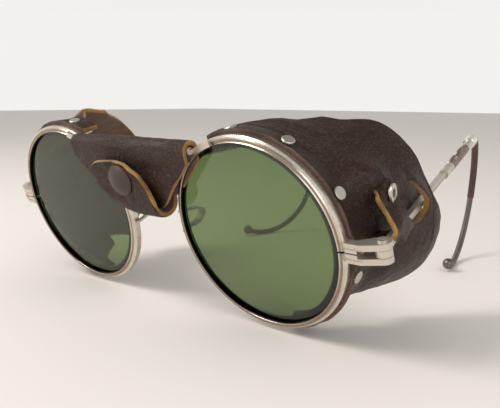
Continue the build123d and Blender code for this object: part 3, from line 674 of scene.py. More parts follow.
def rim_finish(context, side):
    """Nickel silver with its inner wall painted black as painted shade, and a brown groove between
    the two ridges.
    """
    material = metal_finish(context, f"rim_silver_{side}")
    tree = material.node_tree
    shader = tree.nodes["Principled BSDF"]
    colour = shader.inputs["Base Color"].links[0].from_socket
    radius = lens_radius(tree, HALF_SPACING * SIDES[side])
    reach = GLASS_RADIUS + WALL_SHADE_REACH
    wall = ranged(tree, radius, reach * MM, (reach - WALL_SHADE_BLUR) * MM)
    low = ranged(tree, radius, GROOVE_FROM * MM, (GROOVE_FROM + GROOVE_BLUR) * MM)
    high = ranged(tree, radius, GROOVE_TO * MM, (GROOVE_TO - GROOVE_BLUR) * MM)
    groove = maths(tree, "MULTIPLY", maths(tree, "MULTIPLY", low, high), GROOVE_DIRT)
    grimy = mixed(tree, groove, colour, opaque(context.scene.goggles_metal.tarnish))
    # Painted shade: the rim inside the glass's edge is painted black
    feed(tree, shader, {"Base Color": mixed(tree, wall, grimy, PAINTED_SHADE_BLACK)})
    return material


def glass_finish(context, side):
    """Green glass with a dark band of painted shade at its bevelled edge, round the lens axis."""
    look = context.scene.goggles_glass
    material = bpy.data.materials.new(f"green_glass_{side}")
    material.use_nodes = True
    tree = material.node_tree
    shader = tree.nodes["Principled BSDF"]
    radius = lens_radius(tree, HALF_SPACING * SIDES[side] - look.edge_shade_shift / MM)
    inner = GLASS_RADIUS * MM - look.edge_band
    # Painted shade: the glass darkens to a dark band at its edge
    band = ranged(tree, radius, inner, inner + BEVEL_BLUR * MM)
    colour = mixed(tree, band, opaque(look.tint), opaque(look.tint, BEVEL_SHADE))
    feed(tree, shader, {"Base Color": colour, "Roughness": 0.02})
    feed(tree, shader, {"Transmission Weight": 1.0, "IOR": GLASS_INDEX})
    shade = opaque([part * part * GLASS_SHADOW for part in look.tint])
    clear = add(tree, "ShaderNodeBsdfTransparent", Color=shade)
    rays = add(tree, "ShaderNodeLightPath").outputs
    blend = add(tree, "ShaderNodeMixShader", {0: rays["Is Shadow Ray"], 1: shader.outputs[0]})
    feed(tree, blend, {2: clear.outputs[0]})
    feed(tree, tree.nodes["Material Output"], {"Surface": blend.outputs[0]})
    return material


def dress(node, material):
    """Gives a CAD node its finish."""
    thing = frame["nodes"][node]
    thing.data.materials.clear()
    thing.data.materials.append(material)


# Side shields


SLOT_FROM, SLOT_RUN, SLOT_MIDDLE, SLOT_DROP = 24.6, 9.3, 28.1, 0.5
SLOT_WIDTH, SLOT_HEIGHT, SLOT_TILT = 8.0, 14.0, math.radians(30.0)
SLOT_COS, SLOT_SIN = math.cos(SLOT_TILT), math.sin(SLOT_TILT)
SLOT_TRIM = 1.6
NOTCH_FROM, NOTCH_TO, NOTCH_HALF = -1, 4.0, 2.65
TOP_SHARES = (1.0, 0.99, 0.975, 0.95)
BOTTOM_SHARES = (1.0, 1.10, 1.22, 1.20)
TOP_ANGLES = (114.0, 110.0, 103.0, 95.0)
BOTTOM_ANGLES = (-78.0, -66.0, -50.0, -42.0)
SIDE_ANGLES = (18.0, -4.0, -6.0, -8.0)
STATIONS = (SHIELD_FROM, SLOT_FROM, SLOT_FROM + SLOT_RUN, SHIELD_DEPTH)
# Where the leather passes the bar at the last three stations: inside (-1) or outside, and the gap
BAR_GAPS = ((-1, 0.3), (1, 1.8), (1, 2.5))
RIVET_ANGLES, RIVET_BACK = (100.0, 63.0, 27.0, -19.0, -58.0), 4.9

# Rear edge: depth as a share of the shield's, over height as a share of its radius. The hidden
# parts of the right one follow the left one.
LOW_EDGE = (-1.25, 0.0), (-1.15, 0.48), (-0.95, 0.80), (-0.83, 0.92), (-0.70, 0.98)
EDGE_SHARES = {
    "left": (
        *LOW_EDGE, (-0.56, 1.0), (-0.42, 0.99), (-0.24, 0.93), (-0.06, 0.86), (0.12, 0.83),
        (0.42, 0.825), (0.68, 0.78), (0.84, 0.66), (0.98, 0.52), (1.06, 0.30), (1.08, 0.0),
    ),
    "right": (
        *LOW_EDGE, (-0.42, 1.0), (0.10, 0.99), (0.30, 0.96), (0.465, 0.89), (0.68, 0.75),
        (0.82, 0.61), (0.97, 0.46), (1.08, 0.36),
    ),
}
# Edges at the nose side, upper and lower: depth over distance from the lens axis, as shares
UPPER_CUT_SHARES = {
    "left": (
        (-1.2, 1.2), (-0.35, 1.2), (-0.1, 1.6), (0.10, 2.4), (0.25, 3.4), (0.36, 4.6),
        (0.42, 6.0), (0.46, 15.0),
    ),
    "right": ((-1.2, 1.2), (-0.35, 1.2), (0.0, 2.0), (0.28, 4.4), (0.36, 15.0)),
}
LOWER_CUT_SHARES = ((-1.2, 1.4), (0.2, 1.4), (0.42, 2.6), (0.6, 5.2), (0.66, 15.0))

# Relief, in millimetres: rise of the left shield's crown at depths, the right one's crown as
# (height, depth, width), and hills of the leather over its height or its angle in degrees
CROWN_RELIEF = ((7.0, 0.0), (12.0, 0.4), (20.0, -1.8), (27.0, -2.7), (34.0, -0.5), (43.0, 1.5))
CROWN_ANGLE, CROWN_SPREAD, RIGHT_CROWN = 84.0, 34.0, (3.0, 17.0, 6.5)
KEEPER_SWELLS = ((4.4, 13.5, 6.0, 11.0, 5.0), (2.4, 19.0, 5.0, 8.5, 5.0))
SLANTED_CREASE = ((-0.5, 14.0, 2.6, 70.0, 26.0),)
CREASE_SLANT = 0.09
LOW_FOLDS = ((-0.7, 13.0, 4.0, -48.0, 16.0), (0.5, 22.0, 7.0, -36.0, 14.0))
# Unevenness: (height, frequency per millimetre)
WAVES = ((0.30, 0.12), (0.12, 0.45))
# Leather raised along the rivets and pressed in round each of them
SEAM_RISE, SEAM_WIDTH, RIVET_DENT, DENT_RADIUS = 0.28, 2.2, 0.5, 2.5
# Leather raised behind the slot
REAR_WIDTH, REAR_LENGTH = 2.2, 6.5


def side_reaches(swing):
    """How far the leather's middle line stands from the lens axis at each station."""
    half_bar = BAR_HALF_WIDTH / math.cos(swing) + 0.1
    reaches = [SHIELD_OUTER]
    for depth, (way, gap) in zip(STATIONS[1:], BAR_GAPS):
        bar = HINGE_X - HALF_SPACING - (depth - HINGE_BACK) * math.tan(swing)
        reaches.append(bar + way * (half_bar + gap))
    return reaches


def shield_arc(side):
    """Returns a function from a depth to the centre, radius and end angles of the leather's arc."""
    reaches = side_reaches(SWINGS[side])

    def corner(radii, angles):
        turns = np.radians(angles)
        radii = np.array(radii)
        return [np.polyfit(STATIONS, radii * part(turns), 3) for part in (np.cos, np.sin)]

    top = corner([SHIELD_OUTER * share for share in TOP_SHARES], TOP_ANGLES)
    middle = corner(reaches, SIDE_ANGLES)
    bottom = corner([SHIELD_OUTER * share for share in BOTTOM_SHARES], BOTTOM_ANGLES)

    def arc(depth):
        (ax, az), (bx, bz), (cx, cz) = (
            [np.polyval(track, depth) for track in tracks] for tracks in (top, middle, bottom)
        )
        px, pz, qx, qz = bx - ax, bz - az, cx - ax, cz - az
        p, q = (px * px + pz * pz) / 2, (qx * qx + qz * qz) / 2
        area = px * qz - pz * qx
        x, z = ax + (p * qz - q * pz) / area, az + (q * px - p * qx) / area
        start, end = (np.arctan2(up - z, out - x) for out, up in ((ax, az), (cx, cz)))
        return x, z, np.hypot(ax - x, az - z), start, end

    return arc


def shield_surface(side):
    """Returns a function from (share along the arc, depth) to a point of the outer face."""
    arc = shield_arc(side)

    def point(share, depth):
        x, z, radius, start, end = arc(depth)
        angle = start - share * np.mod(start - end, 2 * math.pi)
        return x + radius * np.cos(angle), z + radius * np.sin(angle), angle

    return point


def shield_span(side, point, depth):
    """Shares of the arc at which the leather starts and ends, at a depth."""
    shares = np.linspace(0, 1, 1500)
    out, up, _ = point(shares, depth)
    limit = SHIELD_DEPTH * eased(EDGE_SHARES[side], up / SHIELD_OUTER)
    upper = BAND_BACK * eased(UPPER_CUT_SHARES[side], out / RIM_RADIUS)
    lower = BAND_BACK * eased(LOWER_CUT_SHARES, out / RIM_RADIUS)
    limit = np.minimum(limit, np.where(up > 0, upper, lower))
    kept = shares[limit > depth]
    return (kept[0], kept[-1]) if len(kept) else None


def shield_folds(side, out, depth, up):
    """Outward relief of the leather, in millimetres, at a point of its outer face."""
    behind = clamped((depth - BAND_BACK) / 8.0)
    spot = Vector((out + 90 * SIDES[side], depth, up))
    turn = math.degrees(math.atan2(up, out))
    rise = float(eased(CROWN_RELIEF, depth)) if side == "left" else hill(RIGHT_CROWN, depth)
    relief = bump(turn, CROWN_ANGLE, CROWN_SPREAD, 4) * rise
    relief += hills(SLANTED_CREASE, depth + CREASE_SLANT * (turn - 60.0), turn)
    relief += hills(KEEPER_SWELLS, depth, up) + hills(LOW_FOLDS, depth, turn)
    relief += sum(height * noise.noise(spot * pace) for height, pace in WAVES) * behind
    seam = SEAM_RISE * bump(depth, RIVET_BACK, SEAM_WIDTH)
    for rivet in RIVET_ANGLES:
        away = math.hypot(math.radians(turn - rivet) * SHIELD_OUTER, depth - RIVET_BACK)
        seam -= RIVET_DENT * bump(away, 0.0, DENT_RADIUS, 4)
    across = (depth - SLOT_MIDDLE) * SLOT_COS + (up + SLOT_DROP) * SLOT_SIN
    along = (up + SLOT_DROP) * SLOT_COS - (depth - SLOT_MIDDLE) * SLOT_SIN
    rear = bump(across, SLOT_WIDTH / 2, REAR_WIDTH) * bump(along, 0.0, REAR_LENGTH, 4)
    return relief + rear + seam * clamped((12.0 - depth) / 4.0)


def slot_outline():
    """Outline of the shield's slot: a leaning oblong, as (depth, up)."""
    straight = (SLOT_HEIGHT - SLOT_WIDTH) / 2
    outline = []
    for across, along in ring_points(SLOT_WIDTH / 2, 32):
        along += straight if along >= 0 else SLOT_TRIM - straight
        depth = SLOT_MIDDLE + across * SLOT_COS - along * SLOT_SIN
        outline.append((depth, across * SLOT_SIN + along * SLOT_COS - SLOT_DROP))
    return outline


def shield_leather(side, finishes, thickness):
    """One side shield: a formed sheet with its slot and its notch for the end piece."""
    point = shield_surface(side)
    columns, stations = 140, 96
    matrix = PLACE @ Matrix.Diagonal((SIDES[side], 1, 1, 1))
    outer, inner = [], []
    for station in range(stations):
        run = math.sin(math.pi / 2 * station / stations)
        depth = SHIELD_FROM + (SHIELD_DEPTH - SHIELD_FROM) * run
        span = shield_span(side, point, depth)
        if span is None:
            break
        face, back = [], []
        for out, up, angle in zip(*point(np.linspace(*span, columns), depth)):
            relief = shield_folds(side, out, depth, up)
            for line, lift in ((face, relief), (back, relief - thickness / MM)):
                x = HALF_SPACING + out + lift * math.cos(angle)
                line.append(matrix @ Vector((x, depth, up + lift * math.sin(angle))))
        outer.append(face[:: SIDES[side]])
        inner.append(back[:: SIDES[side]])
    leather = walled_object(f"shield_leather_{side}", outer, inner, finishes, thickness)
    ends = ((NOTCH_FROM, -NOTCH_HALF), (NOTCH_TO, -NOTCH_HALF))
    notch = [*ends, *((depth, -up) for depth, up in reversed(ends))]
    for name, outline in (("slot_cutter", slot_outline()), ("notch_cutter", notch)):
        cut(leather, prism(name, outline, matrix, HALF_SPACING, 2 * HINGE_X, finishes[2]))
    return leather


class GOGGLES_OT_side_shields(bpy.types.Operator):
    """Make the two leather side shields"""

    bl_idname = "goggles.side_shields"
    bl_label = "Side shields"

    def execute(self, context):
        finishes = leather_finishes(context)
        thickness = context.scene.goggles_leather.thickness
        for side in SIDES:
            leather = fuzz(shield_leather(side, finishes, thickness), finishes[2])
            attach(leather, "front_frame")
            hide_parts(f"side_shield_{side}")
            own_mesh(leather)
        return {"FINISHED"}


# Keepers: the shield's leather where it lies outside the bar, from its S-shaped lip to the slot


EYELET_ALONG, EYELET_UP, EYELET_HOLE = 13.4, 7.6, 1.58
# Outer faces, outwards from the bar's middle: beside the eyelet, over the bar and before the slot
TAB_FACE, DRAPE_FACE, SLOT_FACE = -1.15, 2.2, -0.4
# Ridge from the eyelet to the bar: how far it leans forwards, its flat top, its foot, and how
# much nearer the foot comes above the eyelet
RIDGE_LEAN, RIDGE_TOP, RIDGE_FOOT, RIDGE_TRIM = 5.0, 2.6, 8.0, 3.8
# Drape over the bar: its flat top and its feet above and below
DRAPE_TOP, DRAPE_ABOVE, DRAPE_BELOW = 0.8, 6.0, 3.6
# The keeper's gap to the shield, and the share of its width over which the lip stands off
WALL_GAP, LIP_RUN = 0.3, 0.32
SLOT_HILL = ((1.0, 22.0, 4.5, 6.0, 3.5),)
# Lip from the top down: (outwards, along the temple, up)
LIP = (
    (-5.2, 14.0, 10.8), (-5.0, 12.4, 10.5), (-4.6, 11.2, 10.0), (-3.2, 9.8, 9.3),
    (-2.3, 8.6, 8.2), (-1.4, 8.7, 6.0), (0.3, 6.7, 4.6), (1.4, 6.0, 2.9),
    (2.0, 4.8, 1.7), (1.4, 4.6, 0.5), (0.0, 6.6, -1.4),
)
# Rear edge from the top down: (along the temple, up)
REAR = (
    (18.0, 14.5), (22.0, 12.0), (24.6, 9.4), (24.2, 7.0), (22.6, 5.2), (19.0, 4.0),
    (15.8, 2.6), (15.6, 0.4), (16.2, -1.8), (13.0, -5.0),
)
# Tongue: where it starts and ends along the temple, its half width, and the line it follows
TONGUE_FROM, TONGUE_TO, TONGUE_HALF = 15.0, 39.0, 8.4
TONGUE_MIDDLE, TONGUE_HEIGHT, TONGUE_FALL = 24.0, 1.6, 0.5
# How far it lies inside the shield and inside the bar, how it leans away, and its ripples
TONGUE_INSET, TONGUE_BEHIND, TONGUE_LEAN, TONGUE_RIPPLE = 1.75, 2.2, 0.03, 0.25


def smooth_path(points, count):
    """Evenly spaced points of a smooth open curve through the given ones."""
    curve = bpy.data.curves.new("path", "CURVE")
    curve.dimensions = "3D"
    curve.resolution_u = 24
    spline = curve.splines.new("BEZIER")
    spline.bezier_points.add(len(points) - 1)
    for knot, place in zip(spline.bezier_points, points):
        knot.co = place
        knot.handle_left_type = knot.handle_right_type = "AUTO"
    mesh = settle(new_object("path", curve)).data
    line = np.array([vertex.co for vertex in mesh.vertices])
    bpy.data.meshes.remove(mesh)
    bpy.data.curves.remove(curve)
    lengths = np.linalg.norm(np.diff(line, axis=0), axis=1)
    steps = np.concatenate(([0], np.cumsum(lengths)))
    at = np.linspace(0, steps[-1], count)
    return [Vector([np.interp(x, steps, line[:, k]) for k in range(3)]) for x in at]


def shield_wall(side):
    """Returns a function from a place in the temple's frame to how far out the shield lies."""
    arc = shield_arc(side)
    cos, sin = math.cos(SWINGS[side]), math.sin(SWINGS[side])

    def wall(along, up):
        out = -1.5
        for _ in range(4):
            depth = HINGE_BACK + sin * out + cos * along
            x, z, radius, _, _ = arc(depth)
            reach = x + math.sqrt(max(1.0, radius**2 - (up - z) ** 2))
            reach += HALF_SPACING + shield_folds(side, reach, depth, up)
            out = (reach - HINGE_X + sin * along) / cos
        return out

    return wall


def keeper_face(wall, along, up):
    """How far out the keeper's outer face lies: on the shield, the tab or the bar."""
    rise = up + math.tan(TEMPLE_SLOPE) * max(0.0, along - NECK_LENGTH)
    out = wall(along, up) - WALL_GAP
    share = clamped((EYELET_UP - up) / EYELET_UP)
    above, below = max(0.0, up - EYELET_UP), max(0.0, -0.6 - rise)
    away = math.hypot(along - EYELET_ALONG + RIDGE_LEAN * share, above, 2.4 * below)
    ridge = TAB_FACE + (DRAPE_FACE - TAB_FACE) * soft_step(share, 0.0, 0.7)
    foot = RIDGE_FOOT - RIDGE_TRIM * soft_step(up, EYELET_UP, EYELET_UP + 1.5)
    out += (ridge - out) * (1 - soft_step(away, RIDGE_TOP, foot))
    out += (SLOT_FACE - out) * hills(SLOT_HILL, along, up)
    foot = DRAPE_ABOVE if rise > 0 else DRAPE_BELOW
    return out + (DRAPE_FACE - out) * (1 - soft_step(abs(rise), DRAPE_TOP, foot))


def keeper_tab(side, finishes, thickness):
    """The leather outside the bar, with its lip in front and its eyelet hole."""
    wall, matrix = shield_wall(side), temple_matrix(side)
    rear_edge = [(0.0, *place) for place in REAR]
    rows = []
    for lip, rear in zip(smooth_path(LIP, 76), smooth_path(rear_edge, 76)):
        line = []
        for step in spread(0.0, 1.0, 44):
            share = step**1.15
            _, along, up = lip.lerp(rear, share)
            out = keeper_face(wall, along, up)
            out += (lip.x - out) * (1 - soft_step(share, 0.0, LIP_RUN))
            line.append(matrix @ Vector((out, along, up)))
        rows.append(line[:: SIDES[side]])
    shaded = [finishes[0], finishes[3], finishes[2]]
    tab = sheet_object(f"keeper_tab_{side}", rows, thickness, shaded)
    hole = [(EYELET_ALONG + y, EYELET_UP + z) for y, z in ring_points(EYELET_HOLE, 20)]
    return cut(tab, prism("eyelet_cutter", hole, matrix, -3.2, 1.5, finishes[2]))


def slot_tongue(side, finishes, thickness):
    """The tongue cut free for the slot, turned in behind the bar with its suede outwards."""
    wall, matrix = shield_wall(side), temple_matrix(side)
    rows = []
    for across in spread(-1.0, 1.0, 34):
        line = []
        for along in spread(TONGUE_FROM, TONGUE_TO - 2.0 * across**4, 40):
            middle = TONGUE_HEIGHT - TONGUE_FALL * (along - TONGUE_MIDDLE)
            taper = 1 - 0.25 * soft_step(along, 27.0, TONGUE_TO)
            up = middle + TONGUE_HALF * across * taper
            behind = TONGUE_BEHIND + TONGUE_LEAN * (along - TONGUE_FROM)
            out = min(wall(along, up) - TONGUE_INSET, -behind)
            out -= TONGUE_RIPPLE * noise.noise(Vector((along * 0.25, up * 0.25, 5.0)))
            line.append(matrix @ Vector((out, along, up)))
        rows.append(line[:: SIDES[side]])
    suede_outside = [finishes[1], finishes[0], finishes[2]]
    return sheet_object(f"slot_tongue_{side}", rows, thickness, suede_outside)


class GOGGLES_OT_keepers(bpy.types.Operator):
    """Make the keeper tabs that loop round the temples"""

    bl_idname = "goggles.keepers"
    bl_label = "Keeper tabs"

    def execute(self, context):
        finishes = leather_finishes(context)
        thickness = context.scene.goggles_leather.tab_thickness
        for side in SIDES:
            tab = fuzz(keeper_tab(side, finishes, thickness), finishes[2])
            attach(tab, f"temple_{side}")
            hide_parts(f"keeper_{side}")
            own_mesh(tab)
            tongue = fuzz(slot_tongue(side, finishes, thickness), finishes[2])
            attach(tongue, "front_frame")
            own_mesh(tongue)
        return {"FINISHED"}


# Nose leather


SADDLE_FRONT, SADDLE_BACK, ROLL_RADIUS = -3.3, 0.95, 2.1
SADDLE_RIGHT, SADDLE_LEFT = -23.6, 22.6
FLAP_DEPTH, FOLD_CENTRE, FOLD_RADIUS = -5.97, -2.52, 3.45
SNAP_SIDE, SNAP_HEIGHT = -1.0, 14.5
# Bottom and top edges over x, in millimetres
SADDLE_BOTTOM = (
    (-23.6, 20.6), (-21.0, 17.4), (-16.7, 13.0), (-11.3, 9.4), (-6.0, 6.6), (0.0, 6.0),
    (7.0, 6.0), (11.0, 7.2), (16.0, 12.6), (19.6, 16.2), (22.6, 19.4),
)
FLAP_TOP = (
    (-12.0, 17.6), (-10.2, 18.9), (-7.0, 19.6), (-3.0, 19.7), (1.0, 19.2), (4.4, 17.6),
    (7.0, 15.4), (8.8, 12.4), (9.8, 9.0), (10.4, 6.4),
)
FOLD_BOTTOM = (
    (-23.6, 16.0), (-12.0, 9.6), (-9.0, 7.4), (-5.0, 5.2), (-1.0, 4.2), (4.0, 3.9),
    (8.0, 3.9), (10.4, 4.3), (22.6, 15.0),
)
# Roll fuller near its middle, and ripples of the front and of the roll
ROLL_PUFF, FRONT_RIPPLE, ROLL_RIPPLE = (0.10, -4.0, 12.0), 0.16, 0.05
# Flap: how its two corners lift over x, how the snap pulls it in, and the pleats round the snap
CORNER_LIFT, FAR_LIFT = (0.9, -9.0, 6.0), (0.5, 5.0, 5.0)
SNAP_PULL, SNAP_PLEAT, PLEATS, PLEAT_TURN = (0.11, 0.0, 4.6), (0.16, 6.0, 1.8), 7, 0.6
# Hills of the saddle's front over height and x
SADDLE_HILLS = (
    (0.55, BRIDGE_HEIGHT - 5.0, 2.4, 4.0, 14.0),
    (-0.5, 11.0, 4.0, 17.0, 4.0),
)


def saddle_leather(finishes, thickness):
    """The saddle over the bridge: front panel, roll and back panel in one sheet."""
    rows = []
    for x in spread(SADDLE_RIGHT, SADDLE_LEFT, 120):
        front_low = eased(SADDLE_BOTTOM, x)
        back_low = eased(FOLD_BOTTOM, x) + FOLD_RADIUS + 0.05
        line = []
        for z in spread(front_low, BRIDGE_HEIGHT, 40):
            ripple = FRONT_RIPPLE * noise.noise(Vector((x * 0.35, z * 0.3, 3.0)))
            line.append((x, SADDLE_FRONT + hills(SADDLE_HILLS, z, x) + ripple, z))
        puff = 1.0 + hill(ROLL_PUFF, x) + ROLL_RIPPLE * noise.noise(Vector((x * 0.3, 0, 0)))
        radius = ROLL_RADIUS * puff
        for angle in spread(0.0, math.pi, 23)[1:-1]:
            y = BAR_DEPTH - radius * math.cos(angle)
            line.append((x, y, BRIDGE_HEIGHT + radius * math.sin(angle)))
        line += [(x, SADDLE_BACK, z) for z in spread(BRIDGE_HEIGHT, back_low, 22)]
        rows.append([PLACE @ Vector(place) for place in line])
    return sheet_object("nose_saddle", rows, thickness, finishes[:3], 0.5)


def flap_leather(finishes, thickness):
    """The strap from the back of the saddle, turned up in front under the snap."""
    rows = []
    for x in spread(FLAP_TOP[0][0], FLAP_TOP[-1][0], 84):
        bottom = eased(FOLD_BOTTOM, x)
        centre = bottom + FOLD_RADIUS
        top = max(eased(FLAP_TOP, x), bottom + 1.0, centre - FOLD_RADIUS * 0.6)
        turn = math.pi
        if top <= centre:
            turn = math.pi / 2 + math.acos(max(-1, (centre - top) / FOLD_RADIUS))
        line = []
        for angle in spread(0.0, turn, 26):
            y = FOLD_CENTRE + FOLD_RADIUS * math.cos(angle)
            line.append((x, y, centre - FOLD_RADIUS * math.sin(angle)))
        start = line[-1][2]
        for share in spread(0.0, 1.0, 41)[1:]:
            z = start + max(0.0, top - start) * share
            away = math.hypot(x - SNAP_SIDE, z - SNAP_HEIGHT)
            lift = share**3 * hill(CORNER_LIFT, x) + share**2 * hill(FAR_LIFT, x)
            around = PLEATS * math.atan2(z - SNAP_HEIGHT, x - SNAP_SIDE) + PLEAT_TURN
            pleat = hill(SNAP_PLEAT, away) * math.sin(around)
            line.append((x, FLAP_DEPTH - lift + hill(SNAP_PULL, away) + pleat, z))
        rows.append([PLACE @ Vector(place) for place in line])
    return sheet_object("nose_flap_leather", rows, thickness, finishes[:3], 0.5)


class GOGGLES_OT_nose_leather(bpy.types.Operator):
    """Make the saddle over the bridge and its snapped flap"""

    bl_idname = "goggles.nose_leather"
    bl_label = "Nose leather"

    def execute(self, context):
        finishes = leather_finishes(context)
        thickness = context.scene.goggles_leather.strap_thickness
        saddle = fuzz(saddle_leather(finishes, thickness), finishes[2])
        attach(saddle, "front_frame")
        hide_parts("nose_guard")
        flap = fuzz(flap_leather(finishes, thickness), finishes[2])
        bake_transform(flap)
        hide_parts("nose_flap", "nose_strap")
        dress("snap_cap", snap_finish(context))
        metal = metal_finish(context)
        for node in ("snap_socket", "snap_stud"):
            dress(node, metal)
        return {"FINISHED"}


# Metal pieces


class GOGGLES_OT_metal(bpy.types.Operator):
    """Finish the rims, hinges, bridge, temples and rivets"""

    bl_idname = "goggles.metal"
    bl_label = "Metal"

    def execute(self, context):
        metal = metal_finish(context)
        shiny = metal_finish(context, "polished_bead", 0.25, 0.14, (0.82, 0.78, 0.72))
        coil = metal_finish(context, "coil_wire", 1.0, 0.3, (0.34, 0.29, 0.26))
        rivet = metal_finish(context, "rivet_nickel", 0.45, 0.38, (0.42, 0.37, 0.33))
        for side in SIDES:
            plain = ("shield_band", "end_plate_upper", "end_plate_lower", "hinge_screw", "nose_pad")
            for name in plain + ("temple_bar", "ferrule", "cable_collar"):
                dress(f"{name}_{side}", metal)
            dress(f"rim_{side}", rim_finish(context, side))
            dress(f"cable_coil_{side}", coil)
            dress(f"cable_bead_{side}", shiny)
            for name in ("shield_rivets", "eyelet"):
                dress(f"{name}_{side}", rivet)
        dress("bridge", metal)
        return {"FINISHED"}


# Lenses


class GOGGLES_OT_lenses(bpy.types.Operator):
    """Finish the two lenses"""

    bl_idname = "goggles.lenses"
    bl_label = "Lenses"

    def execute(self, context):
        for side in SIDES:
            dress(f"lens_{side}", glass_finish(context, side))
        return {"FINISHED"}


# Ear cables


# Arcs of the ear hook in the bar's plane: (radius, turn in degrees)
HOOK_FROM, HOOK_ARCS = 98.0, ((11.0, 52.0), (31.0, 43.0), (20.0, 116.0))
HOOK_TILTS = {"left": math.radians(9.5), "right": math.radians(-9.341)}
CABLE_RADIUS = 0.95


def curl_line():
    """Points of the ear hook's last arc, in the bar's plane: (along, up)."""
    place, heading = Vector((HOOK_FROM, 0.0)), 0.0
    for radius, turn in HOOK_ARCS:
        centre = place + radius * Vector((math.sin(heading), -math.cos(heading)))
        angles = spread(heading, heading - math.radians(turn), 61)
        line = [centre + radius * Vector((-math.sin(angle), math.cos(angle))) for angle in angles]
        place, heading = line[-1], angles[-1]
    return line


def curl_curve(name, side):
    """A poly curve along the curl of the cable, placed on its temple."""
    line = curl_line()
    matrix = bar_matrix(side) @ Matrix.Rotation(HOOK_TILTS[side], 4, "Y")
    curve = bpy.data.curves.new(name, "CURVE")
    curve.dimensions = "3D"
    spline = curve.splines.new("POLY")
    spline.points.add(len(line) - 1)
    for knot, place in zip(spline.points, line):
        knot.co = (*(matrix @ Vector((0.0, place.x, place.y))), 1.0)
    return new_object(name, curve)


def cable_turns(side, radius, finish):
    """The wire wound round the bare cable of the curl."""
    curve = curl_curve(f"cable_turns_{side}", side)
    reach = CABLE_RADIUS * MM - 0.35 * radius
    wire = {"pitch": 2.1 * radius, "radius": reach, "wire_radius": radius}
    return repeat(curve, "Winding", **wire, material=finish)


class GOGGLES_OT_ear_cables(bpy.types.Operator):
    """Finish the ear cables and their covers"""

    bl_idname = "goggles.ear_cables"
    bl_label = "Ear cables"

    def execute(self, context):
        look = context.scene.goggles_metal
        colours = {"Dark": opaque(look.cover, 0.5), "Light": opaque(look.cover, 1.6)}
        inputs, coat = {"Fibre": 900.0, "Depth": 0.3}, {"Coat Weight": 0.3, "Coat Roughness": 0.3}
        cover = finish_from("cable_cover", "Nap", {**colours, **inputs}, coat)
        cable = metal_finish(context, "dark_cable", 0.8, 0.32, (0.36, 0.32, 0.29))
        for side in SIDES:
            dress(f"cable_cover_{side}", cover)
            dress(f"cable_core_{side}", cover)
            dress(f"ear_cable_{side}", cable)
            dress(f"ball_tip_{side}", cable)
            turns = cable_turns(side, look.cable_wire, cable)
            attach(turns, f"temple_{side}")
        return {"FINISHED"}


# Stage


CAMERA_PLACE = (136.58, -103.06, 66.66)
CAMERA_FORWARD = (-0.64275, 0.66877, -0.37365)
CAMERA_RIGHT = (0.75872, 0.62316, -0.18978)
FLOOR_HALF = 3.0
AIR, AIR_STRENGTH = (0.86, 0.85, 0.84, 1), 0.75
# Heights of the view direction between which the backdrop darkens to the ceiling
CEILING_FROM, CEILING_TO = 0.12, 0.85
LAMP_TARGET = (20, 15, 0)
SENSOR_WIDTH, CLIP_START, CLIP_END = 36.0, 0.01, 20.0
# Lamps: place and size in metres, and colour
LAMPS = {
    "key": ((-0.30, -0.42, 0.55), 0.35, (1.0, 0.97, 0.93)),
    "fill": ((0.55, -0.30, 0.40), 0.45, (0.92, 0.95, 1.0)),
}


def area_lamp(name, place, target, size, power, colour):
    lamp = bpy.data.lights.new(name, "AREA")
    lamp.shape = "DISK"
    lamp.size = size
    lamp.energy = power
    lamp.color = colour
    thing = new_object(name, lamp)
    thing.location = place
    thing.rotation_euler = (Vector(target) - Vector(place)).to_track_quat("-Z", "Y").to_euler()


def make_floor(colour):
    ways = ((-1, -1), (1, -1), (1, 1), (-1, 1))
    corners = [(x * FLOOR_HALF, y * FLOOR_HALF, 0) for x, y in ways]
    mesh = bpy.data.meshes.new("floor")
    mesh.from_pydata(corners, [], [(0, 1, 2, 3)])
    material = bpy.data.materials.new("floor")
    material.use_nodes = True
    tree = material.node_tree
    feed(tree, tree.nodes["Principled BSDF"], {"Base Color": opaque(colour), "Roughness": 0.7})
    mesh.materials.append(material)
    floor = new_object("floor", mesh)


def make_world(scene, look):
    """Even light, and a backdrop with a darker ceiling for the camera, glass and metal."""
    scene.world = bpy.data.worlds.new("studio")
    scene.world.use_nodes = True
    tree = scene.world.node_tree
    air = tree.nodes["Background"]
    feed(tree, air, {"Color": AIR, "Strength": AIR_STRENGTH})
    place = add(tree, "ShaderNodeTexCoord").outputs["Generated"]
    height = add(tree, "ShaderNodeSeparateXYZ", {0: place}).outputs["Z"]
    rise = ranged(tree, height, CEILING_FROM, CEILING_TO)
    shade = mixed(tree, rise, opaque(look.backdrop), opaque(look.ceiling))
    backdrop = add(tree, "ShaderNodeBackground", Color=shade, Strength=1.0)
    rays = add(tree, "ShaderNodeLightPath").outputs
    seen = maths(tree, "MAXIMUM", rays["Is Camera Ray"], rays["Is Transmission Ray"])
    seen = maths(tree, "MAXIMUM", seen, rays["Is Glossy Ray"])
    choose = add(tree, "ShaderNodeMixShader", {0: seen, 1: air.outputs[0]})
    feed(tree, choose, {2: backdrop.outputs[0]})
    feed(tree, tree.nodes["World Output"], {"Surface": choose.outputs[0]})


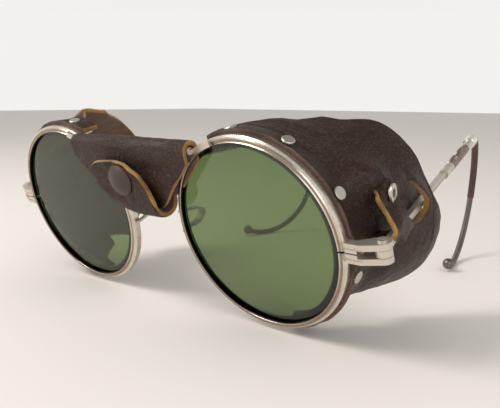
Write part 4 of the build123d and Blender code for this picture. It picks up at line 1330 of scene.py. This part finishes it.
def make_camera(scene, focal_length):
    eye = bpy.data.cameras.new("photo_camera")
    eye.lens = focal_length
    eye.sensor_width = SENSOR_WIDTH
    eye.clip_start = CLIP_START
    eye.clip_end = CLIP_END
    camera = new_object("photo_camera", eye)
    forward = (TURN @ Vector(CAMERA_FORWARD)).normalized()
    right = (TURN @ Vector(CAMERA_RIGHT)).normalized()
    axes = Matrix((right, right.cross(forward), -forward)).transposed().to_4x4()
    camera.matrix_world = Matrix.Translation(PLACE @ Vector(CAMERA_PLACE)) @ axes
    scene.camera = camera


class GOGGLES_OT_stage(bpy.types.Operator):
    """Make the floor, the lamps, the world and the camera"""

    bl_idname = "goggles.stage"
    bl_label = "Stage"

    def execute(self, context):
        scene, look = context.scene, context.scene.goggles_stage
        scene.view_settings.view_transform = "Standard"
        make_floor(look.floor)
        make_world(scene, look)
        target = PLACE @ Vector(LAMP_TARGET)
        for name, (place, size, tint) in LAMPS.items():
            area_lamp(f"{name}_lamp", place, target, size, getattr(look, name), tint)
        make_camera(scene, look.lens)
        return {"FINISHED"}


STEPS = (
    GOGGLES_OT_metal,
    GOGGLES_OT_lenses,
    GOGGLES_OT_side_shields,
    GOGGLES_OT_keepers,
    GOGGLES_OT_nose_leather,
    GOGGLES_OT_ear_cables,
    GOGGLES_OT_stage,
)
SETTINGS = {
    "goggles_leather": GogglesLeather,
    "goggles_metal": GogglesMetal,
    "goggles_glass": GogglesGlass,
    "goggles_stage": GogglesStage,
}


class GOGGLES_PT_build(bpy.types.Panel):
    """Lists the build steps"""

    bl_idname = "GOGGLES_PT_build"
    bl_label = "Goggles"
    bl_space_type = "VIEW_3D"
    bl_region_type = "UI"
    bl_category = "Goggles"

    def draw(self, context):
        for step in STEPS:
            self.layout.operator(step.bl_idname)


def register():
    for kind in (*SETTINGS.values(), *STEPS, GOGGLES_PT_build):
        bpy.utils.register_class(kind)
    for name, kind in SETTINGS.items():
        setattr(bpy.types.Scene, name, bpy.props.PointerProperty(type=kind))


def unregister():
    for name in SETTINGS:
        delattr(bpy.types.Scene, name)
    for kind in reversed((*SETTINGS.values(), *STEPS, GOGGLES_PT_build)):
        bpy.utils.unregister_class(kind)


def main():
    register()
    bpy.ops.goggles.metal()
    bpy.ops.goggles.lenses()
    bpy.ops.goggles.side_shields()
    bpy.ops.goggles.keepers()
    bpy.ops.goggles.nose_leather()
    bpy.ops.goggles.ear_cables()
    bpy.ops.goggles.stage()


if __name__ == "__main__":
    main()
